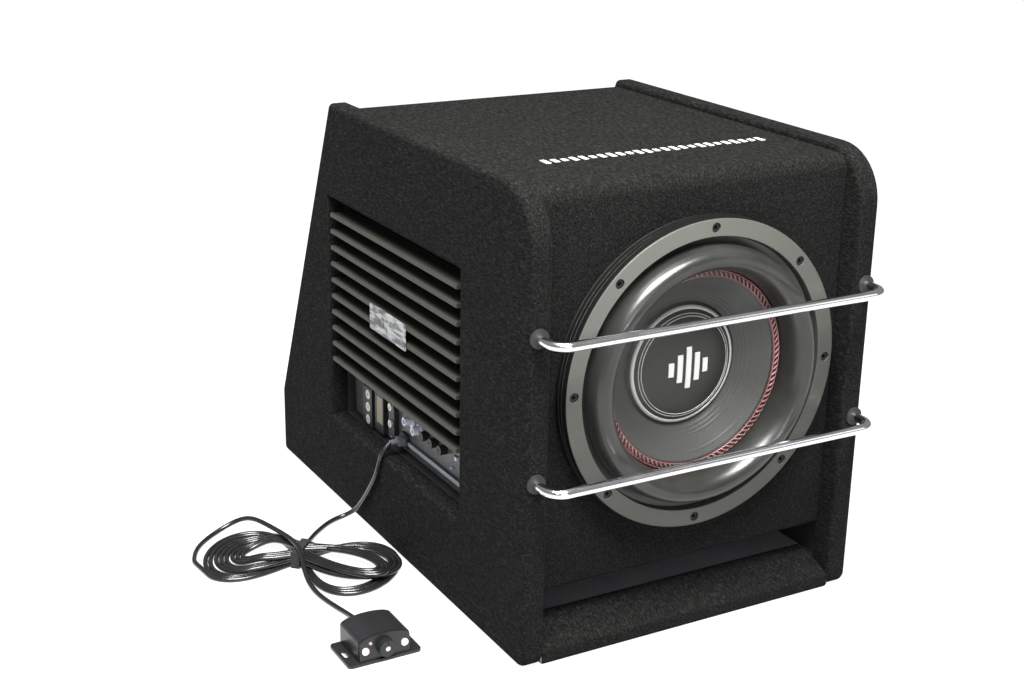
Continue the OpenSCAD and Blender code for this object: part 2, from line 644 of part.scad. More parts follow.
module small_screws() color(silver) {
    tray_screws(inner_x + tray_t) translate([0, 0, -2]) {
        cylinder(r = 3.4, h = 2, $fn = 24);
        translate([0, 0, 2]) cylinder(r = 1.7, h = tray_t, $fn = 24);
    }
    for (y = [input_y + 9, input_y - 10]) on_left(panel_x, y, panel_low + 4) {
        cylinder(r = 2.2, h = 1.3, $fn = 24);
        translate([0, 0, -tray_t]) cylinder(r = 1.1, h = tray_t, $fn = 24);
    }
    for (side = [-1, 1]) from_front() translate([remote_x + side * 17.6, remote_front + 2, 12])
        rotate([90, 0, 0]) cylinder(r = 3.2, h = 1.2, $fn = 32);
}

// ---- Remote -----------------------------------------------------------
remote_knob_l = 6;
remote_x = -258.5;
remote_y = 89;
remote_front = remote_y - remote_d / 2;
remote_back = remote_y + remote_d / 2;
ear_t = 2.5;
wall = 2;
arch_rise = 6;
plug_y = remote_back - wall;
plug_z = 9;
// Arched section of the housing in X and Z, shrunk by s on the sides and top
function arch(s, low) = let (w = remote_body_w / 2 - s, h = remote_h - s) concat(
    [[w, low]], [for (i = [0:12]) let (a = 180 * i / 12)
        [w * cos(a), h - arch_rise + arch_rise * sin(a)]], [[-w, low]]);
module across(y0, y1) from_front() translate([remote_x, y1, 0]) rotate([90, 0, 0])
    linear_extrude(y1 - y0) children();
module remote_base() color(black_plastic) difference() {
    from_front() translate([remote_x, remote_y, 0]) linear_extrude(ear_t)
        polygon(rounded([for (c = [[-1, -1], [1, -1], [1, 1], [-1, 1]])
            [c[0] * remote_w / 2, c[1] * remote_d / 2]], [4, 4, 4, 4]));
    for (side = [-1, 1], dy = [-4, 4]) from_front()
        translate([remote_x + side * (remote_w / 2 - 5), remote_y + dy, -cut])
            cylinder(r = 1.9, h = ear_t + 2 * cut, $fn = 32);
    for (side = [-1, 1]) block(
        [remote_x + side * (remote_w / 2 - 5) - 1.9, remote_x + side * (remote_w / 2 - 5) + 1.9],
        [remote_y - 4, remote_y + 4], [-cut, ear_t + cut]);
}
module remote_housing() color(black_plastic) difference() {
    across(remote_front + 4, remote_back - 1) polygon(arch(0, ear_t));
    across(remote_front + 3, remote_back - 1 - wall) polygon(arch(wall, ear_t - cut));
    block([remote_x - 5.4, remote_x + 5.4], [remote_back - 8, remote_back + 2],
        [plug_z - 3.7, plug_z + 3.7]);
}
module remote_face() color("#2c2d30") difference() {
    across(remote_front + 2, remote_front + 4) polygon(arch(0.6, ear_t));
    from_front() translate([remote_x, remote_front + 5, 13]) rotate([90, 0, 0])
        cylinder(r = 3.4, h = 6, $fn = 32);
    from_front() translate([remote_x - 13, remote_front + 5, 18]) rotate([90, 0, 0])
        cylinder(r = 1.7, h = 6, $fn = 24);
}
module remote_knob() color("#3a3b3d") from_front()
    translate([remote_x, remote_front + 1.6, 13]) rotate([90, 0, 0]) {
        difference() {
            cylinder(r = remote_knob_r, h = remote_knob_l, $fn = 64);
            translate([-0.6, remote_knob_r - 4, remote_knob_l - 0.6]) cube([1.2, 5, 2]);
            for (a = [0:20:359]) rotate([0, 0, a + 10]) translate([remote_knob_r + 0.35, 0, 1])
                cylinder(r = 0.8, h = remote_knob_l, $fn = 16);
        }
        translate([0, 0, -12]) cylinder(r = 3, h = 12.5, $fn = 32);
    }
module remote_led() color("#ff5040") from_front()
    translate([remote_x - 13, remote_front + 4, 18]) rotate([90, 0, 0]) {
        cylinder(r = 1.5, h = 2.4, $fn = 24);
        translate([0, 0, 2.4]) sphere(r = 1.5, $fn = 24);
    }

// ---- Cable ------------------------------------------------------------
plug_out_x = panel_x - 10;
boot_out_x = plug_out_x - 7;
module cord_plug_amp() color("#2a2b2e") {
    block([plug_out_x, plate_x - 1], [jack_y - 4.8, jack_y + 4.8], [jack_z - 3.5, jack_z + 3.5]);
    on_left(plug_out_x, jack_y, jack_z) cylinder(r1 = 3.3, r2 = 2.6, h = 7, $fn = 32);
}
module cord_plug_remote() color("#2a2b2e") {
    block([remote_x - 4.8, remote_x + 4.8], [remote_back - 7.5, remote_back + 4],
        [plug_z - 3.5, plug_z + 3.5]);
    from_front() translate([remote_x, remote_back + 4, plug_z]) rotate([-90, 0, 0])
        cylinder(r1 = 3.3, r2 = 2.6, h = 6, $fn = 32);
}
// Routes of the stretches that aren't coiled
lead_route = [[-161, 268, 100], [-165, 267.8, 99], [-169, 267, 95], [-171.3, 267, 89],
    [-171.6, 269, 81], [-171.6, 274, 71], [-171.6, 281, 60], [-171.6, 289, 50],
    [-171.6, 298, 39], [-171.6, 307, 29], [-172, 316, 19], [-173, 324, 10.5],
    [-177, 330, 5], [-184, 332, 2.8], [-193, 330, 2.5], [-203, 324, 2.5],
    [-213, 316, 2.5], [-223, 307, 2.8], [-231, 297.5, 3.6], [-238.5, 288, 4.8],
    [-242.5, 282, 5.5]];
tail_route = [[-342.7, 304.2, 3], [-337.6, 318.6, 2.8], [-329, 332.5, 2.8],
    [-317.3, 344, 2.9], [-303.5, 352.5, 4.2], [-292, 354.8, 7.6], [-282.5, 352, 12.4],
    [-275.3, 344.8, 16.6], [-271, 334, 17.6], [-267, 322, 17.7], [-263.3, 308, 17.7],
    [-260.3, 294, 17.9], [-258.2, 280, 18.8], [-257.6, 265.5, 19.2], [-259, 251, 18.4],
    [-262.5, 238, 15.8], [-266, 225, 10.8], [-267.5, 211, 6], [-266.5, 195, 3.3],
    [-263.5, 179, 2.6], [-260.3, 163, 2.8], [-258.3, 148, 4.3], [-258.2, 134, 7],
    [-258.5, 121.5, 9]];

// Sweeps a tube of the cable's diameter along a route, one ring at each point
sides = 8;
function tangent(p, i) = unit(p[min(i + 1, len(p) - 1)] - p[max(i - 1, 0)]);
function ring_at(p, i) = let (t = tangent(p, i), s = unit(cross(t, [0.02, 0.01, 1])),
    u = cross(s, t)) [for (k = [0:sides - 1])
        p[i] + cord_d / 2 * (cos(360 * k / sides) * s + sin(360 * k / sides) * u)];
module swept(p) {
    n = len(p);
    polyhedron(
        points = [for (i = [0:n - 1]) each ring_at(p, i)],
        faces = concat(
            [[for (k = [sides - 1:-1:0]) k]],
            [for (i = [0:n - 2], k = [0:sides - 1])
                [i * sides + k, i * sides + (k + 1) % sides,
                    (i + 1) * sides + (k + 1) % sides, (i + 1) * sides + k]],
            [[for (k = [0:sides - 1]) (n - 1) * sides + k]]));
}
module cord_lead() color("#1a1a1c") from_front() swept(lead_route);
module cord_tail() color("#1a1a1c") from_front() swept(tail_route);

// The hank is a bundle tied at its waist: two lobes that open from it
hank_x = -253.5;
hank_y = 266;
hank_turn = -41;
hank_bend = 9;
hank_l = 95;
hank_lobe = 57;
hank_waist = 14;
hank_h = 14.5;
// The waist stays straight until the cosine of the turn's angle passes this
hank_neck = 0.12;
function hank_pt(a) =
    let (den = 1 + pow(sin(a), 2), along = hank_l * cos(a) / den,
         across = hank_waist * sin(a)
            + (hank_lobe - 0.8 * hank_waist) / 0.354 * sin(a) / den
                * max(0, abs(cos(a)) - hank_neck) / (1 - hank_neck),
         t = hank_turn - hank_bend * along / hank_l)
    [hank_x + along * cos(t) - across * sin(t), hank_y + along * sin(t) + across * cos(t)];
module cord_hank() color("#1a1a1c") from_front() linear_extrude(hank_h)
    polygon([for (a = [0:6:354]) hank_pt(a)]);
module cord_tie() color("#0c0c0d") from_front() translate([hank_x, hank_y, 0])
    rotate([0, 0, hank_turn]) {
        translate([-4, -hank_waist - 1.3, hank_h + 0.1]) cube([8, 2 * hank_waist + 2.6, 1.2]);
        for (side = [-1, 1]) translate([-4, side * (hank_waist + 0.7) - 0.6, 0])
            cube([8, 1.2, hank_h + 0.5]);
    }

side_panel_left();
side_panel_right();
side_carpet_left();
side_carpet_right();
front_baffle();
top_panel();
rear_panel();
rear_foot_panel();
bottom_panel();
port_shelf();
body_carpet();
guard_bar_upper();
guard_bar_lower();
bar_washers();
driver_gasket();
basket();
surround();
cone();
cone_stitching();
dust_cap();
cap_rings();
cap_badge();
voice_coil_former();
voice_coil();
spider();
top_plate();
magnet();
pole_plate();
driver_screws();
amp_tray();
amp_cover();
heatsink();
heatsink_badge();
connector_panel();
power_terminal();
input_terminal();
terminal_screws();
fuse_holder();
fuse();
rca_jacks();
gain_knob();
lowpass_knob();
boost_knob();
phase_switch();
power_led();
remote_jack();
amp_board();
amp_capacitors();
small_screws();
remote_base();
remote_housing();
remote_face();
remote_knob();
remote_led();
cord_plug_amp();
cord_lead();
cord_hank();
cord_tie();
cord_tail();
cord_plug_remote();
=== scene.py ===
import json
import math

import bmesh
import bpy
import numpy as np
from bpy.props import FloatProperty, FloatVectorProperty, IntProperty, PointerProperty
from mathutils import Matrix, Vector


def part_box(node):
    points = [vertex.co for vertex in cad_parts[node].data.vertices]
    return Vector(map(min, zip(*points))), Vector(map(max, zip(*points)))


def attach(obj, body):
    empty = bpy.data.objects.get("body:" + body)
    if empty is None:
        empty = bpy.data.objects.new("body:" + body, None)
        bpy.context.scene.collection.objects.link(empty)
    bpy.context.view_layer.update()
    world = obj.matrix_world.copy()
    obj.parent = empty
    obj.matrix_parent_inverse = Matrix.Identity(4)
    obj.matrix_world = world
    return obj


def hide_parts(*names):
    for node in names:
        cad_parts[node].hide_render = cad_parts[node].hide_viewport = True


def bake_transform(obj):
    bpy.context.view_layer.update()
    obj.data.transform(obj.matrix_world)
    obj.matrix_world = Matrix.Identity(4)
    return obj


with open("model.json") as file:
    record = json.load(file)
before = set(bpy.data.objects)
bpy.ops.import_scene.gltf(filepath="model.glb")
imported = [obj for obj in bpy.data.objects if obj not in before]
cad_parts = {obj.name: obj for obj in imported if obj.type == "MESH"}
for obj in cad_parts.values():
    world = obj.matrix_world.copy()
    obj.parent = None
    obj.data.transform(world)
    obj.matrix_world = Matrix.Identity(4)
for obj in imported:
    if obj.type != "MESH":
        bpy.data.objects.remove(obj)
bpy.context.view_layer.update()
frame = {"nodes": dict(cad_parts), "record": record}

bl_info = {
    "name": "Powered Car Subwoofer",
    "version": (1, 0, 0),
    "blender": (4, 5, 0),
    "location": "3D View > Sidebar > Subwoofer",
    "description": "Builds the visible pieces of a carpeted powered subwoofer round its CAD frame",
    "category": "Add Mesh",
}


def low(node):
    """A CAD node's lowest corner, as an array."""
    return np.array(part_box(node)[0])


def high(node):
    """A CAD node's highest corner, as an array."""
    return np.array(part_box(node)[1])


SIDE_LOW, SIDE_HIGH = low("side_carpet_right"), high("side_carpet_right")
FRONT = SIDE_LOW[1]
DRIVER = (low("basket") + high("basket")) / 2
SLOTS = {part["node"]: part["material_slot"] for part in frame["record"]["subparts"]}
BODY_HALF = 0.1484  # half of the body's width, between the side panels' carpet
WHITE = (1.0, 1.0, 1.0, 1.0)


def length(name, about, default, **more):
    """A size in metres."""
    return FloatProperty(name=name, description=about, default=default, min=0.0,
                         unit="LENGTH", **more)


def colour(name, about, default):
    """A linear colour."""
    return FloatVectorProperty(name=name, description=about, default=default, size=3,
                               subtype="COLOR", min=0.0, max=1.0)


class EnclosureSizes(bpy.types.PropertyGroup):
    """Sizes of the box and its carpet."""
    edge: length("Edge radius", "Radius of the carpet where it turns over a panel's edge", 0.0046)
    carpet: length("Carpet", "Thickness of the glued carpet", 0.0018)
    top_depth: length("Top depth", "Depth of the side panels' top edge", 0.383)
    kink: length("Kink height", "Height at which the sloping back turns upright", 0.070)
    panel_round: length("Top corner", "Radius of the side panels' front top corner", 0.047)
    foot_round: length("Foot corner", "Radius of the side panels' front bottom corner", 0.012)
    back_round: length("Back corners", "Radius of the side panels' other corners", 0.006)
    front_step: length("Baffle step", "How far the baffle sits behind the side panels", 0.021)
    top_step: length("Top step", "How far the top and back sit inside the side panels", 0.006)
    crest: length("Crest", "Radius where the top turns down into the baffle", 0.013)
    slot: length("Port height", "Height of the baffle's lower edge above the floor", 0.056)
    recess_roll: length("Recess roll", "Radius of the carpet where it turns into the recess", 0.003)
    hole: length("Driver hole", "Radius of the hole in the baffle's carpet", 0.1205)


class DriverSizes(bpy.types.PropertyGroup):
    """Sizes of the driver's moving parts."""
    roll_height: length("Roll height", "How far the roll stands out of its base", 0.023)
    roll_outer: length("Roll outer radius", "Outer radius of the rubber roll", 0.1105)
    roll_inner: length("Roll inner radius", "Inner radius of the rubber roll", 0.0875)
    land: length("Stitched band", "Width of the sewn band inside the roll", 0.008)
    rubber: length("Rubber", "Thickness of the roll", 0.0014)
    cap: length("Cap radius", "Radius of the dust cap", 0.054)
    cap_height: length("Cap height", "Height of the dust cap's dome", 0.011)
    spider: length("Spider radius", "Outer radius of the corrugated spider", 0.075)
    spider_hole: length("Spider hole", "Radius of its hole, clear of the coil", 0.0267)
    spider_depth: length("Spider depth", "How far the spider lies behind the fronts", 0.0839)
    stitches: IntProperty(name="Stitches", description="Stitches round the sewn band",
                          default=104, min=12, max=400)
    thread: length("Thread radius", "Radius of the sewing thread", 0.00085, precision=5)


class CordSizes(bpy.types.PropertyGroup):
    """Sizes of the remote's cable and its hank."""
    thickness: length("Cable", "Diameter of the remote's cable", 0.0045)
    turns: IntProperty(name="Turns", description="Turns in the tied hank", default=9, min=3, max=9)
    reach: length("Hank half length", "Half of the hank's length, along its outermost turn", 0.0925)
    lobe: length("Lobe half width", "Half of a lobe's width", 0.0545)
    waist: length("Waist half width", "Half of the width where the hank is tied", 0.0115)


class Colours(bpy.types.PropertyGroup):
    """Colours of the finishes."""
    carpet: colour("Carpet", "Pile of the carpet", (0.0087, 0.0087, 0.0084))
    basket: colour("Basket", "Paint of the driver's basket", (0.078, 0.078, 0.070))
    rubber: colour("Roll", "Rubber of the driver's roll", (0.0150, 0.0150, 0.0135))
    cone: colour("Cone", "Coating of the cone", (0.048, 0.048, 0.0455))
    thread: colour("Thread", "Thread of the sewn band", (0.105, 0.018, 0.020))
    heatsink: colour("Heatsink", "Anodised finish of the fins", (0.034, 0.034, 0.0285))
    cable: colour("Cable", "Jacket of the cable", (0.0045, 0.0045, 0.005))
    floor: colour("Floor", "Paper that the set stands on", (0.12, 0.12, 0.12))


class StageSettings(bpy.types.PropertyGroup):
    """Camera and light."""
    lens: FloatProperty(name="Lens", description="Focal length of the camera in millimetres",
                        default=55.74, min=10.0, max=200.0)
    sky: FloatProperty(name="Sky", description="Strength of the light from all round",
                       default=0.22, min=0.0, max=10.0)
    glow: FloatProperty(name="Paper glow", description="How brightly the backlit paper shines",
                        default=0.95, min=0.0, max=10.0)
    lamp: FloatProperty(name="Softboxes", default=1.0, min=0.0, max=10.0,
                        description="Power of the softboxes, against their usual one")


GROUPS = {"sub_enclosure": EnclosureSizes, "sub_driver": DriverSizes, "sub_cord": CordSizes,
          "sub_colours": Colours, "sub_stage": StageSettings}


# ---- Shader graphs ------------------------------------------------------------------

class Wire:
    """An output of a shader graph. Arithmetic on wires adds the Math node for it."""

    def __init__(self, tree, socket=None):
        self.tree, self.socket = tree, socket

    def node(self, kind, settings=None, values=None, output=None):
        """Adds a node, sets it up, fills its sockets with values or wires, returns one output."""
        made = self.tree.nodes.new(kind)
        for key, value in (settings or {}).items():
            if key == "stops":
                ramp = made.color_ramp
                for number, (place, shade) in enumerate(value):
                    stop = ramp.elements[number] if number < 2 else ramp.elements.new(place)
                    stop.position, stop.color = place, (*shade, 1.0)
            else:
                setattr(made, key, value)
        for key, value in (values or {}).items():
            shown = [s for s in made.inputs if s.enabled and s.name == key]
            socket = made.inputs[key] if isinstance(key, int) else shown[0]
            if isinstance(value, Wire):
                self.tree.links.new(value.socket, socket)
            elif socket.type == "RGBA" and len(value) == 3:
                socket.default_value = (*value, 1.0)
            else:
                socket.default_value = value
        outs = [s for s in made.outputs if s.enabled and output in (None, s.name)]
        return Wire(self.tree, outs[0] if outs else None)

    def maths(self, operation, a, b):
        """One Math node on two wires or numbers."""
        return self.node("ShaderNodeMath", {"operation": operation}, {0: a, 1: b})

    def __add__(self, other): return self.maths("ADD", self, other)
    def __radd__(self, other): return self.maths("ADD", other, self)
    def __sub__(self, other): return self.maths("SUBTRACT", self, other)
    def __rsub__(self, other): return self.maths("SUBTRACT", other, self)
    def __mul__(self, other): return self.maths("MULTIPLY", self, other)
    def __rmul__(self, other): return self.maths("MULTIPLY", other, self)
    def __pow__(self, other): return self.maths("POWER", self, other)
    def __gt__(self, other): return self.maths("GREATER_THAN", self, other)
    def __lt__(self, other): return self.maths("LESS_THAN", self, other)


class Finish:
    """A material in the making: its place on the piece, its patterns and its shader."""

    def __init__(self, name):
        self.material = bpy.data.materials.new(name)
        self.material.use_nodes = True
        tree = self.material.node_tree
        self.shader = tree.nodes["Principled BSDF"]
        self.root = Wire(tree)
        self.place = self.root.node("ShaderNodeTexCoord", output="Object")

    def moved(self, turn=(0, 0, 0), scale=(1, 1, 1)):
        """The piece's coordinates, turned and scaled."""
        return self.root.node("ShaderNodeMapping", None, {
            "Vector": self.place, "Rotation": turn, "Scale": scale})

    def noise(self, scale, detail=2.0, rough=0.5, on=None):
        """Smooth noise from 0 to 1 with that many lumps to the metre."""
        return self.root.node("ShaderNodeTexNoise", None, {
            "Vector": on or self.place, "Scale": scale, "Detail": detail,
            "Roughness": rough}, "Fac")

    def axes(self):
        """The three coordinates as wires."""
        made = self.root.node("ShaderNodeSeparateXYZ", None, {0: self.place}).socket.node
        return [Wire(self.root.tree, socket) for socket in made.outputs]

    def ramp(self, factor, stops):
        """A colour read off a row of stops at the factor."""
        return self.root.node("ShaderNodeValToRGB", {"stops": stops}, {0: factor}, "Color")

    def between(self, factor, a, b):
        """A colour that goes from a to b with the factor."""
        return self.root.node("ShaderNodeMix", {"data_type": "RGBA", "clamp_factor": True},
                              {"Factor": factor, "A": a, "B": b}, "Result")

    def span(self, value, start, end, first=0.0, last=1.0):
        """A value carried from start..end to first..last, and held there outside it."""
        return self.root.node("ShaderNodeMapRange", {"clamp": True}, {
            "Value": value, 1: start, 2: end, 3: first, 4: last}, "Result")

    def bump(self, height, depth, strength=1.0, under=None):
        """A normal tilted by the slope of a height that is scaled to a depth in metres."""
        values = {"Height": height, "Distance": depth, "Strength": strength}
        if under is not None:
            values["Normal"] = under
        return self.root.node("ShaderNodeBump", None, values, "Normal")

    def set(self, **values):
        """Fills the shader's sockets, named with _ for a space, with numbers, colours or wires."""
        for key, value in values.items():
            socket = self.shader.inputs[key.replace("_", " ")]
            if isinstance(value, Wire):
                self.root.tree.links.new(value.socket, socket)
            else:
                full = (*value, 1.0) if socket.type == "RGBA" and len(value) == 3 else value
                socket.default_value = full
        return self.material


def tone(shade, share):
    """A colour made lighter or darker by that share, kept under white."""
    return tuple(min(0.95, part * share) for part in shade)


def moulded(name, shade, rough, grain=1400, depth=0.00006, uneven=0.12, **fixed):
    """Moulded or painted stuff: fine grain, slow unevenness in its gloss and light dust."""
    made = Finish(name)
    slow, fine = made.noise(28, 3), made.noise(grain, 3, 0.6)
    worn = made.span(slow, 0.35, 0.65)
    return made.set(
        Base_Color=made.between(fine * 0.5 + worn * 0.5, tone(shade, 1 - uneven),
                                tone(shade, 1 + uneven * 2)),
        Roughness=made.span(fine * 0.4 + slow * 0.6, 0.3, 0.7, rough * 0.85,
                            min(1.0, rough * 1.18)),
        Normal=made.bump(fine, depth, 0.6), **fixed)


def drawn(name, shade, rough, stretch, lines=1500, depth=0.00003, **fixed):
    """Brushed, extruded or drawn metal: lines along the axis whose stretch is small."""
    made = Finish(name)
    along = made.moved(scale=stretch)
    streak, blur = made.noise(lines, 2, 0.7, along), made.noise(30, 2)
    return made.set(
        Base_Color=made.between(streak, tone(shade, 0.82), tone(shade, 1.12)),
        Roughness=made.span(streak * 0.6 + blur * 0.4, 0.3, 0.7, rough * 0.75, rough * 1.3),
        Normal=made.bump(streak, depth, 0.5), **fixed)


def carpet_finish(shade):
    """Needle-felt carpet: matted fibres in three directions, lint-light ends, soft lumps."""
    made = Finish("needle_felt")
    strands = [made.noise(620, 3, 0.65, made.moved(turn=turn, scale=(1, 0.28, 1)))
               for turn in ((0.4, 0.2, 0.6), (1.3, -0.5, 2.1), (-0.7, 1.0, -1.2))]
    felt = (strands[0] + strands[1] + strands[2]) * 0.333
    lumps, nap = made.noise(170, 3, 0.6), made.noise(14, 2)
    tuft = made.span(felt, 0.36, 0.62)
    ends = made.span(made.noise(1100, 2, 0.7), 0.60, 0.74)
    base = made.ramp(tuft, [(0.0, tone(shade, 0.28)), (0.5, tone(shade, 0.9)),
                            (1.0, tone(shade, 2.6))])
    base = made.between(ends * 0.35, base, tone(shade, 4.2))
    base = made.between(made.span(lumps * 0.6 + nap * 0.4, 0.35, 0.65, 0.30, 0.0), base,
                        tone(shade, 0.4))
    lumpy = made.bump(lumps, 0.0012, 0.5)
    return made.set(Base_Color=base, Roughness=made.span(tuft, 0, 1, 0.98, 0.86),
                    Normal=made.bump(felt + ends * 0.15, 0.0011, 0.9, lumpy),
                    Sheen_Weight=0.012, Sheen_Roughness=0.5, Sheen_Tint=(0.62, 0.62, 0.60),
                    Specular_IOR_Level=0.03)


def board_finish():
    """Fibreboard: fine speckle, painted black where it lines the port, with the port's floor made
    light blue-grey as painted light and painted reflection.
    """
    made = Finish("fibreboard")
    x, y, z = made.axes()
    port = (z < 0.0745) * (y < FRONT + 0.33)
    grain = made.noise(900, 3, 0.6)
    bare = made.between(grain, (0.30, 0.20, 0.115), (0.46, 0.33, 0.20))
    # Painted light and painted reflection: the port's upward-facing floor gets a light blue-grey in
    # place of the black paint that its walls keep.
    floor = (z < 0.03) * (x > -0.1495) * (x < 0.1495)
    black_paint_with_painted_lit_floor = made.between(floor, (0.012, 0.012, 0.014), made.between(
        made.noise(60, 3), (0.150, 0.150, 0.165), (0.220, 0.220, 0.245)))
    return made.set(Base_Color=made.between(port, bare, black_paint_with_painted_lit_floor),
                    Roughness=made.span(port, 0, 1, 0.85, 0.42),
                    Normal=made.bump(grain, 0.00018, 0.5))


def chrome_finish():
    """Polished plate with faint smears in its gloss."""
    made, shade = Finish("polished_chrome"), (0.90, 0.905, 0.915)
    smear = made.noise(45, 4, 0.6)
    return made.set(Base_Color=made.between(smear, tone(shade, 0.97), shade), Metallic=1.0,
                    Roughness=made.span(smear, 0.35, 0.7, 0.13, 0.20),
                    Normal=made.bump(made.noise(160, 2), 0.00003, 0.3))


def round_driver(made):
    """Distance from the driver's axis: the root of x squared plus height squared."""
    x, _, z = made.axes()
    height = z - float(DRIVER[2])
    return (x * x + height * height) ** 0.5


def basket_finish(shade):
    """Satin powder coat with its orange-peel skin, crowned across the flange."""
    made = Finish("basket_coat")
    peel, slow = made.noise(750, 2, 0.5), made.noise(22, 3)
    radius = round_driver(made)
    crown = made.bump(made.span(radius, 0.116, 0.134, 1.0, 0.0), 0.0085)
    wall = radius > 0.1323
    coat = made.between(made.noise(2400, 2), tone(shade, 0.86), tone(shade, 1.16))
    return made.set(Base_Color=made.between(wall, coat, tone(shade, 0.07)),
                    Roughness=made.span(slow, 0.3, 0.7, 0.40, 0.50), Metallic=0.1,
                    Specular_IOR_Level=0.22,
                    Normal=made.bump(peel, 0.00012, 0.5, crown))


def rubber_finish(shade):
    """Glossy moulded rubber: very fine rings round the driver and a bloom of dust."""
    made = Finish("roll_rubber")
    radius = round_driver(made)
    lines = made.root.node("ShaderNodeMath", {"operation": "SINE"}, {0: radius * 7400})
    dust, fine = made.noise(34, 4, 0.6), made.noise(1500, 2)
    return made.set(Base_Color=made.between(made.span(dust, 0.4, 0.7), shade, tone(shade, 1.5)),
                    Roughness=made.span(dust * 0.7 + fine * 0.3, 0.3, 0.7, 0.27, 0.36),
                    Normal=made.bump(lines * 0.3 + fine, 0.00003, 0.5),
                    Coat_Weight=0.25, Coat_Roughness=0.22)


def cone_finish(shade):
    """Coated pulp: mottled fibres under a satin skin, pressed rings round the cap."""
    made = Finish("coated_pulp")
    radius = round_driver(made)
    fibre = made.noise(520, 4, 0.65)
    rings = made.root.node("ShaderNodeMath", {"operation": "SINE"}, {0: radius * 2600})
    return made.set(Base_Color=made.between(fibre, tone(shade, 0.72), tone(shade, 1.35)),
                    Roughness=made.span(fibre, 0.3, 0.7, 0.31, 0.42),
                    Normal=made.bump(fibre + rings * 0.02, 0.00014, 0.5), Coat_Weight=0.05,
                    Coat_Roughness=0.3, Specular_IOR_Level=0.25)


def thread_finish(shade):
    """Twisted nylon: fine variation along the twist, and slow patches of pale pink that are painted
    highlight.
    """
    made = Finish("nylon_thread")
    twist = made.noise(1500, 2, 0.7)
    painted_highlight_patches = made.span(made.noise(30, 2), 0.35, 0.65)
    # Painted highlight: the thread runs from dark red to a pale pink that stands for light caught
    # on it, in slow patches and along the twist.
    return made.set(Base_Color=made.between(twist * 0.6 + painted_highlight_patches * 0.4, tone(shade, 0.55),
                                            (0.36, 0.15, 0.15)),
                    Roughness=0.38, Normal=made.bump(twist, 0.0002, 0.8), Coat_Weight=0.4,
                    Coat_Roughness=0.25)


def heatsink_finish(shade):
    """Dark anodised extrusion: die lines along the fins, and the fins' outer edges made lighter in
    patches as a painted highlight.
    """
    made = Finish("dark_anodising")
    x = made.axes()[0]
    die = made.noise(1300, 3, 0.7, made.moved(scale=(1, 0.012, 1)))
    # Painted highlight: lighter towards the fins' outer tips, broken up by slow patches.
    toward_tips = made.span(x, -0.1668, float(low("heatsink")[0]) + 0.0001)
    painted_tip_highlight = toward_tips * made.span(made.noise(60, 3), 0.3, 0.6, 0.35, 1.0)
    return made.set(Base_Color=made.between(painted_tip_highlight, made.between(
                        die, tone(shade, 0.75), tone(shade, 1.2)), tone(shade, 1.3)),
                    Specular_IOR_Level=0.3, Roughness=made.span(die, 0.3, 0.7, 0.50, 0.62),
                    Normal=made.bump(die, 0.00008, 0.5))


def cable_finish(shade):
    """Smooth plasticised jacket with faint scuffs."""
    made = Finish("cable_jacket")
    scuff = made.noise(90, 4, 0.65)
    return made.set(Base_Color=made.between(scuff, shade, tone(shade, 2.6)),
                    Roughness=made.span(scuff, 0.35, 0.7, 0.20, 0.34),
                    Normal=made.bump(made.noise(700, 2), 0.00003, 0.4), Coat_Weight=0.2,
                    Coat_Roughness=0.15)


def trim_finish():
    """Soft satin trim on the cap; on the heatsink's plate, printed with a plain slanted weave."""
    made = Finish("silver_trim")
    plate = made.axes()[0] < -0.12
    weave = made.noise(190, 2, 0.6, made.moved(turn=(0.5, 0, 0), scale=(1, 0.25, 1)))
    print_ = made.between(made.span(weave, 0.42, 0.58), (0.055, 0.056, 0.058),
                          (0.36, 0.365, 0.37))
    fine = made.noise(900, 2)
    soft = made.between(fine, (0.36, 0.36, 0.355), (0.46, 0.46, 0.455))
    return made.set(Base_Color=made.between(plate, soft, print_), Metallic=0.1,
                    Roughness=made.span(fine, 0.3, 0.7, 0.30, 0.42),
                    Normal=made.bump(fine, 0.00002, 0.5))


def panel_finish():
    """Brushed plate, screened dark where the controls are and bare along its lower rib."""
    made = Finish("brushed_panel")
    streak = made.noise(1800, 2, 0.7, made.moved(scale=(1, 0.02, 1)))
    rib = made.axes()[0] < float(low("connector_panel")[0]) + 0.0004
    plain = made.between(streak, (0.42, 0.43, 0.45), (0.60, 0.61, 0.63))
    dark = made.between(made.noise(260, 3), (0.055, 0.057, 0.062), (0.17, 0.175, 0.185))
    return made.set(Base_Color=made.between(rib, dark, plain),
                    Metallic=made.span(rib, 0, 1, 0.3, 0.8),
                    Roughness=made.span(streak, 0.3, 0.7, 0.30, 0.44),
                    Normal=made.bump(streak, 0.00003, 0.5))


def remote_finish():
    """Glossy moulded case of the remote, with a pale pip in the middle of its knob."""
    made = Finish("remote_plastic")
    x, y, z = made.axes()
    middle = (low("remote_knob") + high("remote_knob")) / 2
    across, above = x - float(middle[0]), z - float(middle[2])
    spot = (across * across + above * above) ** 0.5
    pip = (spot < 0.0021) * (y < float(low("remote_knob")[1]) + 0.0002)
    fine = made.noise(1300, 3, 0.6)
    case = made.between(fine, (0.0085, 0.0087, 0.0092), (0.0135, 0.0137, 0.0145))
    gloss = fine * 0.5 + made.noise(40, 2) * 0.5
    return made.set(Base_Color=made.between(pip, case, (0.5, 0.5, 0.52)),
                    Roughness=made.span(gloss, 0.3, 0.7, 0.24, 0.34),
                    Normal=made.bump(fine, 0.00008, 0.5))


def lens_with_painted_glow(name, shade, glow):
    """A lens with a faint emission, a painted glow, though its lamp is off: a tinted body, lighter
    and darker at random.
    """
    made = Finish(name)
    # Painted glow: a faint emission in the lens's own tint.
    return made.set(Base_Color=made.between(made.noise(300, 2), tone(shade, 0.8), shade),
                    Roughness=made.span(made.noise(500, 2), 0, 1, 0.12, 0.2),
                    Emission_Color=shade, Emission_Strength=glow)


FINISHES = {}


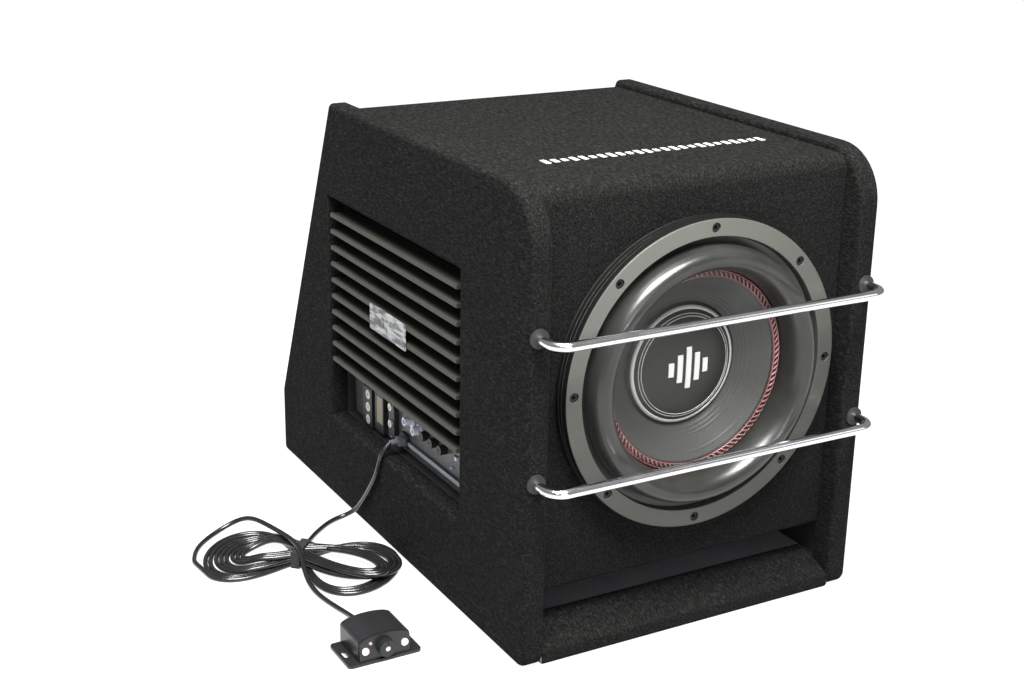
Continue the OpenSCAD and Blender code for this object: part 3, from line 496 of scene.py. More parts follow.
def mix_finishes():
    """Makes every finish, named for the record's slots."""
    tints = {name: tuple(getattr(bpy.context.scene.sub_colours, name))
             for name in Colours.__annotations__}
    FINISHES.update({
        "mdf": board_finish(), "carpet": carpet_finish(tints["carpet"]),
        "chrome_bar": chrome_finish(),
        "black_rubber": moulded("black_rubber", (0.010, 0.010, 0.0105), 0.62, 900, 0.0001),
        "basket_paint": basket_finish(tints["basket"]),
        "surround_rubber": rubber_finish(tints["rubber"]),
        "cone_pulp": cone_finish(tints["cone"]),
        "red_thread": thread_finish(tints["thread"]),
        "cap_plastic": moulded("cap_plastic", (0.0125, 0.0127, 0.0100), 0.42, 800, 0.00005),
        "silver_trim": trim_finish(),
        "white_trim": moulded("white_gloss", (0.50, 0.50, 0.495), 0.34, 900, 0.00003, 0.03),
        "former_film": moulded("amber_film", (0.42, 0.23, 0.08), 0.3),
        "coil_wire": drawn("enamelled_wire", (0.60, 0.22, 0.10), 0.3, (0.02, 1, 0.02),
                           2600, 0.0001, Metallic=0.8),
        "spider_cloth": moulded("resin_cotton", (0.50, 0.33, 0.11), 0.8, 1600, 0.0003, 0.25),
        "zinc_steel": drawn("zinc_plate", (0.50, 0.51, 0.52), 0.36, (1, 1, 1), 500, Metallic=1.0),
        "ferrite": moulded("ferrite", (0.030, 0.030, 0.032), 0.6, 700, 0.0002),
        "black_steel": moulded("black_oxide", (0.011, 0.011, 0.011), 0.42, Metallic=0.4),
        "tray_paint": moulded("tray_coat", (0.014, 0.0145, 0.016), 0.5, 700, 0.0001),
        "anodised": heatsink_finish(tints["heatsink"]),
        "brushed_panel": panel_finish(),
        "black_plastic": moulded("black_plastic", (0.0125, 0.0127, 0.0135), 0.42, 1100, 0.00008),
        "chrome_screw": drawn("nickel_plate", (0.72, 0.71, 0.64), 0.42, (1, 1, 1), 700,
                              Metallic=0.55),
        "amber_plastic": moulded("tan_plastic", (0.27, 0.245, 0.16), 0.40),
        "white_plastic": moulded("white_plastic", (0.70, 0.74, 0.84), 0.38, uneven=0.04),
        "blue_led": lens_with_painted_glow("blue_lens", (0.45, 0.52, 0.80), 0.05),
        "red_led": lens_with_painted_glow("red_lens", (0.30, 0.22, 0.25), 0.02),
        "circuit_board": moulded("solder_mask", (0.012, 0.12, 0.05), 0.3, 500, 0.0001),
        "capacitor_sleeve": moulded("shrink_sleeve", (0.020, 0.025, 0.040), 0.25),
        "remote_plastic": remote_finish(),
        "cable_jacket": cable_finish(tints["cable"]),
        "plug_plastic": moulded("plug_plastic", (0.10, 0.105, 0.115), 0.30),
    })


# ---- Meshes -------------------------------------------------------------------------

def cells(points, wrap_rows=False, wrap_columns=False, skip=None):
    """A grid of points as points and four-cornered faces: cell i, j joins point i, j to its
    next row, its next row and column, and its next column. Cells in skip are left open."""
    rows, columns = points.shape[:2]
    index = np.arange(rows * columns).reshape(rows, columns)
    if wrap_rows:
        index = np.vstack((index, index[:1]))
    if wrap_columns:
        index = np.hstack((index, index[:, :1]))
    faces = np.stack((index[:-1, :-1], index[1:, :-1], index[1:, 1:], index[:-1, 1:]), -1)
    if skip is not None:
        faces = faces[~skip]
    return points.reshape(-1, 3), faces.reshape(-1, 4)


def build(name, parts, slot, body="box", replaces=(), sharp=38.0):
    """One closed mesh from several grids: their doubles are merged, faces turned outwards,
    and edges sharper than the angle stay sharp."""
    counts = np.cumsum([0] + [len(points) for points, _ in parts])
    points = np.concatenate([points for points, _ in parts])
    faces = np.concatenate([faces + start for (_, faces), start in zip(parts, counts)])
    mesh = bpy.data.meshes.new(name)
    mesh.vertices.add(len(points))
    mesh.vertices.foreach_set("co", points.astype(np.float32).ravel())
    mesh.loops.add(faces.size)
    mesh.loops.foreach_set("vertex_index", faces.astype(np.int32).ravel())
    mesh.polygons.add(len(faces))
    mesh.polygons.foreach_set("loop_start", np.arange(0, faces.size, 4, dtype=np.int32))
    mesh.update(calc_edges=True)
    work = bmesh.new()
    work.from_mesh(mesh)
    bmesh.ops.remove_doubles(work, verts=work.verts, dist=0.000002)
    bmesh.ops.dissolve_degenerate(work, dist=0.0000005, edges=work.edges)
    bmesh.ops.recalc_face_normals(work, faces=work.faces)
    work.to_mesh(mesh)
    work.free()
    mesh.polygons.foreach_set("use_smooth", np.ones(len(mesh.polygons), dtype=bool))
    mesh.set_sharp_from_angle(angle=math.radians(sharp))
    made = bpy.data.objects.new(name, mesh)
    bpy.context.scene.collection.objects.link(made)
    mesh.materials.append(FINISHES[slot])
    if replaces:
        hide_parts(*replaces)
    if body:
        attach(made, body)
    return made


def on_circle(radius, turn, y):
    """Points round the driver's axis: the radius times the turn's cosine across, and times
    its sine above the axis."""
    return np.stack(np.broadcast_arrays(radius * np.cos(turn), y,
                                        DRIVER[2] + radius * np.sin(turn)), -1)


def turned(profile, steps=240, wrap=True):
    """A body of revolution round the driver's axis: a profile of radius and depth, each of
    whose points goes round a circle at its radius, at its own depth behind the panels' fronts."""
    profile = np.asarray(profile, float)
    angle = np.linspace(0, 2 * math.pi, steps, endpoint=False)
    grid = on_circle(profile[:, :1], angle, FRONT + profile[:, 1:])
    return cells(grid, wrap_rows=wrap, wrap_columns=True)


def swept(path, radius, sides=12, closed=False, up=(0.02, 0.01, 1.0)):
    """A tube along a path: at each point a circle across the path's direction, whose first
    axis is the direction crossed with up and whose second is the first crossed with it. The
    usual up leans a little, so that no straight drop runs along it."""
    path = np.asarray(path, float)
    if closed:
        ahead = np.roll(path, -1, 0) - np.roll(path, 1, 0)
    else:
        ahead = np.gradient(path, axis=0)
    ahead /= np.linalg.norm(ahead, axis=1)[:, None]
    side = np.cross(ahead, np.asarray(up, float))
    side /= np.linalg.norm(side, axis=1)[:, None]
    rise = np.cross(side, ahead)
    angle = np.linspace(0, 2 * math.pi, sides, endpoint=False)
    radius = np.broadcast_to(radius, len(path))[:, None, None]
    rings = path[:, None] + radius * (np.cos(angle)[None, :, None] * side[:, None]
                                      + np.sin(angle)[None, :, None] * rise[:, None])
    if not closed:
        rings = np.concatenate((np.repeat(path[:1, None], sides, 1), rings,
                                np.repeat(path[-1:, None], sides, 1)))
    return cells(rings, wrap_rows=closed, wrap_columns=True)


def spaced(path, step):
    """Points at equal steps along a path of straight stretches."""
    path = np.asarray(path, float)
    run = np.concatenate(([0], np.cumsum(np.linalg.norm(np.diff(path, axis=0), axis=1))))
    at = np.linspace(0, run[-1], max(2, int(round(run[-1] / step)) + 1))
    return np.stack([np.interp(at, run, path[:, axis]) for axis in range(path.shape[1])], 1)


def eased(path, spread, step=0.001):
    """A path whose corners are eased: each point becomes the mean of its neighbours, weighted
    by a bell curve of that spread, with the ends held by reflecting the path about them."""
    fine = spaced(path, step)
    reach = int(4 * spread / step)
    bell = np.exp(-0.5 * (np.arange(-reach, reach + 1) * step / spread) ** 2)
    bell /= bell.sum()
    long = np.concatenate((2 * fine[0] - fine[reach:0:-1], fine,
                           2 * fine[-1] - fine[-2:-reach - 2:-1]))
    return np.stack([np.convolve(long[:, axis], bell, "valid") for axis in range(3)], 1)


def rounded(points, radii, steps=10):
    """A polygon's corners swapped for arcs: each centre lies on the corner's bisector, at the
    radius over the sine of half the angle, and the arc joins the two tangent points."""
    points, parts = np.asarray(points, float), []
    for before, here, after, radius in zip(np.roll(points, 1, 0), points,
                                           np.roll(points, -1, 0), radii):
        if radius <= 0:
            parts.append(here[None])
            continue
        u, v = before - here, after - here
        u, v = u / np.linalg.norm(u), v / np.linalg.norm(v)
        half = math.acos(float(u @ v)) / 2
        middle = here + (u + v) / np.linalg.norm(u + v) * radius / math.sin(half)
        start = here + u * radius / math.tan(half) - middle
        end = here + v * radius / math.tan(half) - middle
        first = math.atan2(start[1], start[0])
        turn = (math.atan2(end[1], end[0]) - first + math.pi) % (2 * math.pi) - math.pi
        angle = first + turn * np.linspace(0, 1, steps + 1)
        parts.append(middle + radius * np.stack((np.cos(angle), np.sin(angle)), 1))
    return np.concatenate(parts)


def dense(paths, step):
    """The same extra points on several paths of equal count, at most a step apart on the
    first of them, so that long flat runs get rows of their own."""
    paths = [np.asarray(path, float) for path in paths]
    runs = np.linalg.norm(np.diff(paths[0], axis=0), axis=1)
    at = np.concatenate([number + np.linspace(0, 1, max(1, math.ceil(run / step)),
                                              endpoint=False)
                         for number, run in enumerate(runs)] + [[len(runs)]])
    index = np.arange(len(paths[0]))
    return [np.stack([np.interp(at, index, path[:, axis]) for axis in range(2)], 1)
            for path in paths]


def casting(polygon, centre, angles):
    """How far a convex polygon's edge is from a point inside it along each angle: the least,
    over the edges that face that way, of an edge's distance over the cosine between them."""
    start = polygon - centre
    edge = np.roll(start, -1, 0) - start
    kept = np.linalg.norm(edge, axis=1) > 1e-7
    start, edge = start[kept], edge[kept]
    normal = np.stack((edge[:, 1], -edge[:, 0]), 1)
    normal /= np.linalg.norm(normal, axis=1)[:, None]
    away = (normal * start).sum(1)
    normal, away = normal * np.sign(away)[:, None], np.abs(away)
    facing = np.stack((np.cos(angles), np.sin(angles)), 1) @ normal.T
    return np.where(facing > 1e-6, away / np.maximum(facing, 1e-6), np.inf).min(1)


def bearings(*loops, centre, count=480):
    """Evenly spread angles, and those of the given loops' own points, in order."""
    found = [np.linspace(-math.pi, math.pi, count, endpoint=False)]
    found += [np.arctan2(*(loop - centre).T[::-1]) for loop in loops]
    return np.unique(np.concatenate(found).round(5))


# ---- Enclosure ----------------------------------------------------------------------

def section(size, front, top, rear, foot):
    """Five corners of the box's side view: front foot, front top, rear top, kink, rear foot.
    The slope's line is moved in by the rear inset along its own normal."""
    depth, height = SIDE_HIGH[1] - FRONT, SIDE_HIGH[2]
    normal = np.array((height - size.kink, depth - size.top_depth))
    normal /= np.linalg.norm(normal)
    line = float(normal @ (size.top_depth, height)) - rear
    lid = height - top
    return np.array(((front, foot), (front, lid), ((line - normal[1] * lid) / normal[0], lid),
                     (depth - rear, (line - normal[0] * (depth - rear)) / normal[1]),
                     (depth - rear, foot)))


def side_outline(size, inset):
    """The side panel's outline moved in by an inset, with its corners' arcs shrunk as much."""
    back = max(size.back_round - inset, 0.0006)
    return rounded(section(size, *[inset] * 4),
                   (size.foot_round - inset, size.panel_round - inset, back, back, back))


def side_skin(size, side, recess):
    """The carpet over a side panel. Its rows are loops round the panel, cast from the recess's
    centre: in over the inner edge, round the rim, over the outer face, and into the recess
    or to the middle, then the same way back one carpet thickness inside."""
    inner, outer, edge, felt = BODY_HALF, SIDE_HIGH[0], size.edge, size.carpet
    board_in = high("front_baffle")[0]
    beside, below, above = 0.006, 0.003, 0.0148
    hole_low, hole_high = low("heatsink"), high("heatsink")
    front, rear = hole_low[1] - FRONT - beside, hole_high[1] - FRONT + beside
    base, lid = low("connector_panel")[2] - below, hole_high[2] + above
    centre = np.array(((front + rear) / 2, (base + lid) / 2))

    def rim(inset):
        return side_outline(size, inset)

    def cutout(grow):
        """The recess's outline, moved out into the panel."""
        corners = ((front - grow, base - grow), (rear + grow, base - grow),
                   (rear + grow, lid + grow), (front - grow, lid + grow))
        return rounded(corners, [0.0015 + grow] * 4, 4)

    behind = felt - 0.0001
    strip = rounded(section(size, size.front_step + behind, size.top_step + behind,
                            size.top_step + behind, edge + 0.0004),
                    (0.001, size.crest - behind, 0.003, 0.003, 0.001))
    angles = bearings(rim(0), cutout(0), cutout(0.003), strip, centre=centre)

    def loop(x, polygon):
        """One row: the polygon's edge along each angle, or the centre where there is none."""
        distance = casting(polygon, centre, angles) if polygon is not None else 0 * angles
        return np.stack((0 * angles + side * x, FRONT + centre[0] + distance * np.cos(angles),
                         centre[1] + distance * np.sin(angles)), 1)

    def rolled(x, way, radius, outline, turns):
        """Rows over a round edge: along x by the radius less its cosine, and in from the
        outline by the radius less its sine."""
        return [loop(x + way * radius * (1 - math.cos(a)), outline(radius * (1 - math.sin(a))))
                for a in turns]

    bend = np.linspace(0, math.pi / 2, 7)
    rows = [loop(inner, strip), loop(inner, rim(edge + 0.0003))]
    rows += rolled(inner, 1, edge, rim, bend) + rolled(outer, -1, edge, rim, bend[::-1])
    rows += [loop(outer, rim(edge + 0.002))]
    back = [loop(outer - felt, rim(felt)), loop(inner + felt, rim(felt)),
            loop(inner + felt, strip)]
    if not recess:
        return cells(np.array([loop(outer - felt, None)] + back + rows + [loop(outer, None)]),
                     wrap_columns=True)
    roll = size.recess_roll
    rows += [loop(outer, cutout(roll + 0.002))] + rolled(outer, -1, roll, cutout, bend)
    rows += [loop(board_in, cutout(0)), loop(board_in, cutout(felt)),
             loop(outer - felt, cutout(felt + 0.001))]
    return cells(np.array(rows + back), wrap_rows=True, wrap_columns=True)


def body_skin(size):
    """The carpet over baffle, top and back: a path in the side view carried across the width.
    Towards each side it dips in a quarter round, and the baffle's flat is swapped for rings
    that go from its edge to the driver's hole."""
    felt, half = size.carpet, BODY_HALF
    lip = low("front_baffle")[1] - FRONT + 0.016

    def path(inset):
        """The side view's line, from under the baffle round to under the rear foot."""
        corners = section(size, size.front_step + inset, size.top_step + inset,
                          size.top_step + inset, inset)
        corners[0, 1] = size.slot + inset
        back = max(size.back_round - inset, 0.0006)
        radii = (max(0.005 - inset, 0.0006), size.crest - inset, back, back, back)
        whole = rounded(corners, radii)
        return np.concatenate((((lip, size.slot + inset),), whole, ((0.075, inset),)))

    dips = ((0.0, 0.0017), (0.0002, 0.0010), (0.0008, 0.0004), (0.0017, 0.0001), (0.0030, 0.0))
    inner_x = half - dips[-1][0]
    flats = np.linspace(-inner_x, inner_x, 41)[1:-1]
    rows = [(-half + x, dip) for x, dip in dips] + [(x, 0.0) for x in flats]
    rows += [(half - x, dip) for x, dip in dips[::-1]]
    insets = sorted({dip for _, dip in rows})
    lines = dict(zip(insets + [felt], dense([path(i) for i in insets + [felt]], 0.01)))

    def placed(x, line):
        """The line at one place across the width."""
        return np.stack((0 * line[:, 0] + x, FRONT + line[:, 0], line[:, 1]), 1)

    outer = np.array([placed(x, lines[dip]) for x, dip in rows])
    inner = np.array([placed(x, lines[felt]) for x, _ in rows])
    flat = np.where(np.abs(outer[8, :, 1] - FRONT - size.front_step) < 1e-6)[0]
    first, last = flat[0], flat[-1]
    left, right = len(dips) - 1, len(rows) - len(dips)
    skip = np.zeros((outer.shape[0] - 1, outer.shape[1] - 1), bool)
    skip[left:right, first:last] = True

    def border(grid, a, b, c, d):
        """The points round the grid's part from row a to b and column c to d."""
        return np.concatenate((grid[a:b, c], grid[b, c:d], grid[b:a:-1, d], grid[a, d:c:-1]))

    ring_out, ring_in = (border(grid, left, right, first, last) for grid in (outer, inner))
    away = ring_out[:, [0, 2]] - (0, DRIVER[2])
    round_ = away / np.linalg.norm(away, axis=1)[:, None] * size.hole
    circle_out = np.stack((round_[:, 0], ring_out[:, 1], DRIVER[2] + round_[:, 1]), 1)
    circle_in = np.stack((round_[:, 0], ring_in[:, 1], DRIVER[2] + round_[:, 1]), 1)
    hole = np.array([ring_out, (ring_out + circle_out) / 2, circle_out, circle_in, ring_in])
    end = (0, outer.shape[0] - 1, 0, outer.shape[1] - 1)
    rim = np.array([border(outer, *end), border(inner, *end)])
    return [cells(outer, skip=skip), cells(inner, skip=skip), cells(hole, wrap_columns=True),
            cells(rim, wrap_columns=True)]


def lip_skin(size):
    """The carpet over the bottom panel's bevelled front: a closed section in the side view
    carried across the width, drawn in a little towards its ends."""
    felt, half = size.carpet, BODY_HALF
    top = high("bottom_panel")[2]
    front = low("body_carpet")[1] - FRONT
    outer = rounded(((0.0695, 0), (front, 0), (front, 0.0129), (0.0352, top + felt),
                     (0.0430, top + felt)), (0, 0.0025, 0.0035, 0.008, 0.0008))
    inner = rounded(((0.0695, felt), (front + felt, felt), (front + felt, 0.0117),
                     (0.0358, top + 0.0001), (0.0430, top + 0.0001)),
                    (0, 0.001, 0.0018, 0.008, 0))
    loop = np.concatenate((outer, inner[::-1]))
    middle = np.array((0.035, 0.012))
    spots = np.array((half, half - 0.0002, half - 0.001, half - 0.0025))
    shrink = np.array((0.978, 0.988, 0.996, 1.0))
    xs = np.concatenate((-spots, np.linspace(-0.14, 0.14, 15), spots[::-1]))
    sizes = np.concatenate((shrink, np.ones(15), shrink[::-1]))
    grid = middle + (loop - middle)[None] * sizes[:, None, None]
    rows = np.stack((np.broadcast_to(xs[:, None], grid.shape[:2]), FRONT + grid[..., 0],
                     grid[..., 1]), -1)
    count = len(outer)

    def end_face(row):
        """The outer line joined to the inner one, whose last point fills its missing ones."""
        inside = row[count:][::-1]
        rest = inside[-1:].repeat(count - len(inside), 0)
        return cells(np.array([row[:count], np.concatenate((inside, rest))]))

    return [cells(rows, wrap_columns=True), end_face(rows[0]), end_face(rows[-1])]


class SUB_OT_side_carpets(bpy.types.Operator):
    """Wrap both side panels in carpet"""
    bl_idname = "subwoofer.side_carpets"
    bl_label = "Side carpets"

    def execute(self, context):
        size = context.scene.sub_enclosure
        build("side_felt_right", [side_skin(size, 1, False)], "carpet",
              replaces=("side_carpet_right",))
        build("side_felt_left", [side_skin(size, -1, True)], "carpet",
              replaces=("side_carpet_left",))
        return {"FINISHED"}


class SUB_OT_body_carpet(bpy.types.Operator):
    """Wrap the baffle, top, back and the port's lip in carpet"""
    bl_idname = "subwoofer.body_carpet"
    bl_label = "Body carpet"

    def execute(self, context):
        size = context.scene.sub_enclosure
        build("body_felt", body_skin(size), "carpet", replaces=("body_carpet",))
        build("port_lip_felt", lip_skin(size), "carpet", replaces=("body_carpet",))
        return {"FINISHED"}


class SUB_OT_top_marks(bpy.types.Operator):
    """Lay a plain row of raised dashes on the top"""
    bl_idname = "subwoofer.top_marks"
    bl_label = "Top marks"

    def execute(self, context):
        lid = SIDE_HIGH[2] - context.scene.sub_enclosure.top_step
        count, row, corner, wide = 25, FRONT + 0.1035, 0.0008, 0.0024
        tall = 0.5 + 0.5 * np.abs(np.cos(np.arange(count) * 0.9))
        angle = np.linspace(0, 2 * math.pi, 20, endpoint=False)
        across, along = np.cos(angle), np.sin(angle)
        parts = []
        for x, long in zip(np.linspace(-0.097, 0.118, count), 0.0065 * tall):
            rim = np.stack((x + np.sign(across) * (wide - corner) + corner * across,
                            row + np.sign(along) * (long - corner) + corner * along,
                            0 * angle), 1)
            base, edge, top = (0, 0, lid - 0.0004), (0, 0, lid + 0.0003), (0, 0, lid + 0.00045)
            middle = 0 * rim + (x, row, 0)
            parts.append(cells(np.array([middle + base, rim + base, rim + edge, rim + top,
                                         middle + top]), wrap_columns=True))
        build("top_marks", parts, "white_trim")
        return {"FINISHED"}


# ---- Driver -------------------------------------------------------------------------

class SUB_OT_surround(bpy.types.Operator):
    """Mould the rubber roll that joins the basket to the cone"""
    bl_idname = "subwoofer.surround"
    bl_label = "Surround"

    def execute(self, context):
        size = context.scene.sub_driver
        slant = 0.0065
        out_y = high("surround")[1] - FRONT - size.rubber - slant
        in_y = out_y + slant
        middle = (size.roll_outer + size.roll_inner) / 2
        half = (size.roll_outer - size.roll_inner) / 2
        angle = np.linspace(0, math.pi, 49)

        def roll(off):
            """Half an ellipse round the roll's middle, a little squarer than round, on a base
            that slants to the cone."""
            wide = np.sign(np.cos(angle)) * np.abs(np.cos(angle)) ** 0.88
            return np.stack((middle + (half + off) * wide, out_y + size.rubber
                             + (in_y - out_y) * (1 - np.cos(angle)) / 2
                             - (size.roll_height + off) * np.sin(angle) ** 0.88), 1)

        rim, land = size.roll_outer + 0.0063, size.roll_inner - size.land + 0.0004
        face = np.concatenate((((rim, out_y + size.rubber), (rim, out_y + 0.0003),
                                (rim - 0.0003, out_y)), roll(0.0),
                               ((size.roll_inner - 0.0006, in_y + 0.0002),
                                (size.roll_inner - 0.0012, in_y),
                                (land + 0.0006, in_y), (land, in_y + 0.0005),
                                (land, in_y + size.rubber)), roll(-size.rubber)[::-1]))
        made = build("roll_surround", [turned(face, 288)], "surround_rubber", body=None,
                     replaces=("surround",))
        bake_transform(made)
        return {"FINISHED"}


def cone_line(size):
    """Radius and depth where the cone starts inside the sewn band, and where its neck ends."""
    start = high("surround")[1] - FRONT
    return (size.roll_inner - size.land, start), (0.0252, start + 0.042)


def cap_face(size, radius):
    """Depth of the dust cap's face: its rim's depth less its height times one less the
    radius's share of the cap to the power 2.8."""
    (wide, near), (narrow, deep) = cone_line(size)
    rim = near + (wide - size.cap) * (deep - near) / (wide - narrow) - 0.0001
    return rim - size.cap_height * (1 - (radius / size.cap) ** 2.8)


class SUB_OT_cone(bpy.types.Operator):
    """Press the cone, with its rings"""
    bl_idname = "subwoofer.cone"
    bl_label = "Cone"

    def execute(self, context):
        size = context.scene.sub_driver
        (wide, near), (narrow, deep) = cone_line(size)
        radius = np.linspace(wide, narrow, 120)
        ridge = sum(0.00022 * np.exp(-((radius - at) / 0.00055) ** 2)
                    for at in (0.0745, 0.0632, 0.0605, 0.0578))
        depth = near + (wide - radius) * (deep - near) / (wide - narrow) - ridge
        face = np.stack((radius, depth), 1)
        rear = face[::-1] + (0, 0.0012)
        ledge = np.array(((size.roll_inner - 0.0016, near + 0.0012),
                          (size.roll_inner - 0.0016, near)))
        build("pressed_cone", [turned(np.concatenate((ledge, face, rear)), 240)], "cone_pulp",
              "cone_assembly", ("cone",))
        return {"FINISHED"}


class SUB_OT_stitching(bpy.types.Operator):
    """Sew the band that joins the roll to the cone"""
    bl_idname = "subwoofer.stitching"
    bl_label = "Sewn band"

    def execute(self, context):
        size = context.scene.sub_driver
        face = high("cone_stitching")[1]
        middle = size.roll_inner - size.land / 2 + 0.0003
        reach = size.land / 2 - 0.0009 - size.thread
        share = np.linspace(-1, 1, 9)
        shut = size.thread * np.sqrt(np.clip(1.02 - share ** 8, 0, 1))
        gap = 2 * math.pi / size.stitches
        parts = []
        for number in range(size.stitches):
            radius = middle + reach * share
            turn = gap * (number + 0.42 * share)
            y = face - 0.0003 - 0.0003 * (1 - share ** 2)
            parts.append(swept(on_circle(radius, turn, y), shut, 8, up=(0, 1, 0)))
        turn = np.linspace(0, 2 * math.pi, 3 * size.stitches, endpoint=False)
        y = face - 0.0002 + 0.0003 * np.cos(turn * size.stitches)
        for radius in (middle + reach + 0.0002, middle - reach - 0.0002):
            parts.append(swept(on_circle(radius, turn, y), size.thread * 0.6, 6, True,
                               (0, 1, 0)))
        build("zigzag_stitching", parts, "red_thread", "cone_assembly", ("cone_stitching",), 60)
        return {"FINISHED"}


class SUB_OT_dust_cap(bpy.types.Operator):
    """Form the dust cap and its trim rings"""
    bl_idname = "subwoofer.dust_cap"
    bl_label = "Dust cap"

    def execute(self, context):
        size = context.scene.sub_driver
        radius = np.linspace(0, size.cap, 72)
        face = np.stack((radius, cap_face(size, radius)), 1)
        within = radius[:-1]
        rear = np.stack((within, cap_face(size, within) + 0.001), 1)
        build("domed_cap", [turned(np.concatenate((face, rear[::-1])), 180, wrap=False)],
              "cap_plastic", "cone_assembly", ("dust_cap",))
        parts = []
        spread = np.linspace(-1, 1, 9)
        for inner, outer, proud in ((0.0484, 0.0514, 0.0009), (0.0447, 0.0454, 0.0005),
                                    (0.0425, 0.0432, 0.0005)):
            across = (inner + outer) / 2 + (outer - inner) / 2 * spread
            rise = proud * np.sqrt(np.clip(1 - spread ** 2, 0, 1))
            top = np.stack((across, cap_face(size, across) - 0.00002 - rise), 1)
            flat = np.stack((across, cap_face(size, across) + 0.0002), 1)
            parts.append(turned(np.concatenate((top, flat[::-1])), 200))
        build("cap_trim_rings", parts, "silver_trim", "cone_assembly", ("cap_rings",))
        return {"FINISHED"}


class SUB_OT_spider(bpy.types.Operator):
    """Form the spider, a corrugated ring of cloth that the coil passes through"""
    bl_idname = "subwoofer.spider"
    bl_label = "Spider"

    def execute(self, context):
        size, folds, rise, cloth = context.scene.sub_driver, 4, 0.0016, 0.0008
        radius = np.linspace(size.spider_hole, size.spider, 65)
        turn = np.linspace(0, 2 * math.pi * folds, 65)
        front = np.stack((radius, size.spider_depth + rise * np.sin(turn)), 1)
        rear = front + (0, cloth)
        build("corrugated_spider", [turned(np.concatenate((front, rear[::-1])), 120)],
              "spider_cloth", "box", ("spider",))
        return {"FINISHED"}


# ---- Cable --------------------------------------------------------------------------

# Where the cable's ends run: across, behind the panels' fronts and above the floor
LEAD = ((-161, 268, 100), (-165, 267.8, 99), (-169, 267, 95), (-171.3, 267, 89),
        (-171.6, 269, 81), (-171.6, 274, 71), (-171.6, 281, 60), (-171.6, 289, 50),
        (-171.6, 298, 39), (-171.6, 307, 29), (-172, 316, 19), (-173, 324, 10.5),
        (-177, 330, 5), (-184, 332, 2.8), (-193, 330, 2.5), (-203, 324, 2.5),
        (-213, 316, 2.5), (-223, 307, 2.8), (-231, 297.5, 3.6), (-238.5, 288, 4.8))
TAIL = ((-342.7, 304.2, 3), (-337.6, 318.6, 2.8), (-329, 332.5, 2.8),
        (-317.3, 344, 2.9), (-303.5, 352.5, 4.2), (-292, 354.8, 7.6), (-282.5, 352, 12.4),
        (-275.3, 344.8, 16.6), (-271, 334, 17.6), (-267, 322, 17.7), (-263.3, 308, 17.7),
        (-260.3, 294, 17.9), (-258.2, 280, 18.8), (-257.6, 265.5, 19.2), (-259, 251, 18.4),
        (-262.5, 238, 15.8), (-266, 225, 10.8), (-267.5, 211, 6), (-266.5, 195, 3.3),
        (-263.5, 179, 2.6), (-260.3, 163, 2.8), (-258.3, 148, 4.3), (-258.2, 134, 7),
        (-258.5, 121.5, 9))


def route(points):
    """A route given in millimetres from the panels' fronts, in metres in the frame."""
    return np.asarray(points, float) / 1000 + (0, FRONT, 0)


def curved(points, steps=6):
    """A smooth line through points: between each two, the cubic that passes through both with
    slopes parallel to the lines that join their neighbours."""
    ends = np.vstack((2 * points[0] - points[1], points, 2 * points[-1] - points[-2]))
    t = np.linspace(0, 1, steps, endpoint=False)[:, None]
    parts = [0.5 * (2 * b + (c - a) * t + (2 * a - 5 * b + 4 * c - d) * t ** 2
                    + (3 * b - a - 3 * c + d) * t ** 3)
             for a, b, c, d in zip(ends, ends[1:], ends[2:], ends[3:])]
    return np.concatenate(parts + [points[-1:]])


# Where the hank is tied, across and behind the fronts; its heading on the floor, and how far
# that swings from the tie to a lobe's tip, in degrees
TIE, HEADING, SWING = (-0.2535, 0.266), -41, 9
# The most that sine times cosine over one more than the sine squared comes to
WIDEST = 0.354


def smooth(share):
    """A share held from 0 to 1 and eased at both ends: its square times 3 less twice itself."""
    share = np.clip(share, 0, 1)
    return share * share * (3 - 2 * share)


def hank(size):
    """Nested turns of a tied hank, from the innermost at the waist to the outermost's tip.
    A turn's length along is its reach times the cosine over one more than the sine squared;
    its width across is the waist's times the sine, plus the lobe's opening times the same
    sine share, let in only away from the waist. Each turn is a cable's width smaller than
    the one outside it, and passes over to the next in the last fifth of its way. At the waist
    the turns stack three high, and to the right they stay so and fan out by group."""
    count, pitch = size.turns, size.thickness + 0.0002
    sweep = np.linspace(2 * math.pi * count + math.pi / 2 - 0.5, math.pi + 0.42, 52 * count)
    place = (sweep - math.pi / 2) / (2 * math.pi)
    whole = np.floor(place)
    number = np.clip(whole + smooth((place - whole - 0.78) / 0.22), 0, count - 1)
    steps = np.arange(count)
    group = steps // 3

    def each(values):
        """A value for every turn, carried smoothly from one turn to the next."""
        return np.interp(number, steps, values)

    longer, narrower, fan = (each(np.array(shares)[group]) for shares in (
        (0.0, 0.002, -0.001), (0.0, 0.006, 0.002), (0.0, 0.11, -0.11)))
    cosine, sine = np.cos(sweep), np.sin(sweep)
    right, round_off = cosine > 0, 1 + sine ** 2
    tuck = each(size.waist - 0.0046 * (steps % 3))
    reach = np.where(right, each(size.reach - pitch * (steps % 3)) + longer,
                     size.reach - pitch * number)
    lobe = size.lobe - pitch * number - np.where(right, narrower, 0)
    along = reach * cosine / round_off
    opening = np.clip(np.abs(cosine) - 0.12, 0, 1) / 0.88
    across = tuck * sine + (lobe - 0.8 * tuck) / WIDEST * sine / round_off * opening
    across += fan * np.clip(along - 0.01, 0, 1)
    stack = np.where(right, 1.0, smooth((0.058 - np.abs(along)) / 0.030))
    height = size.thickness * (0.5 + each(group) * stack) + 0.0001
    turn = np.radians(HEADING) - np.radians(SWING) * along / 0.095
    x = TIE[0] + along * np.cos(turn) - across * np.sin(turn)
    y = FRONT + TIE[1] + along * np.sin(turn) + across * np.cos(turn)
    return np.stack((x, y, height), 1)


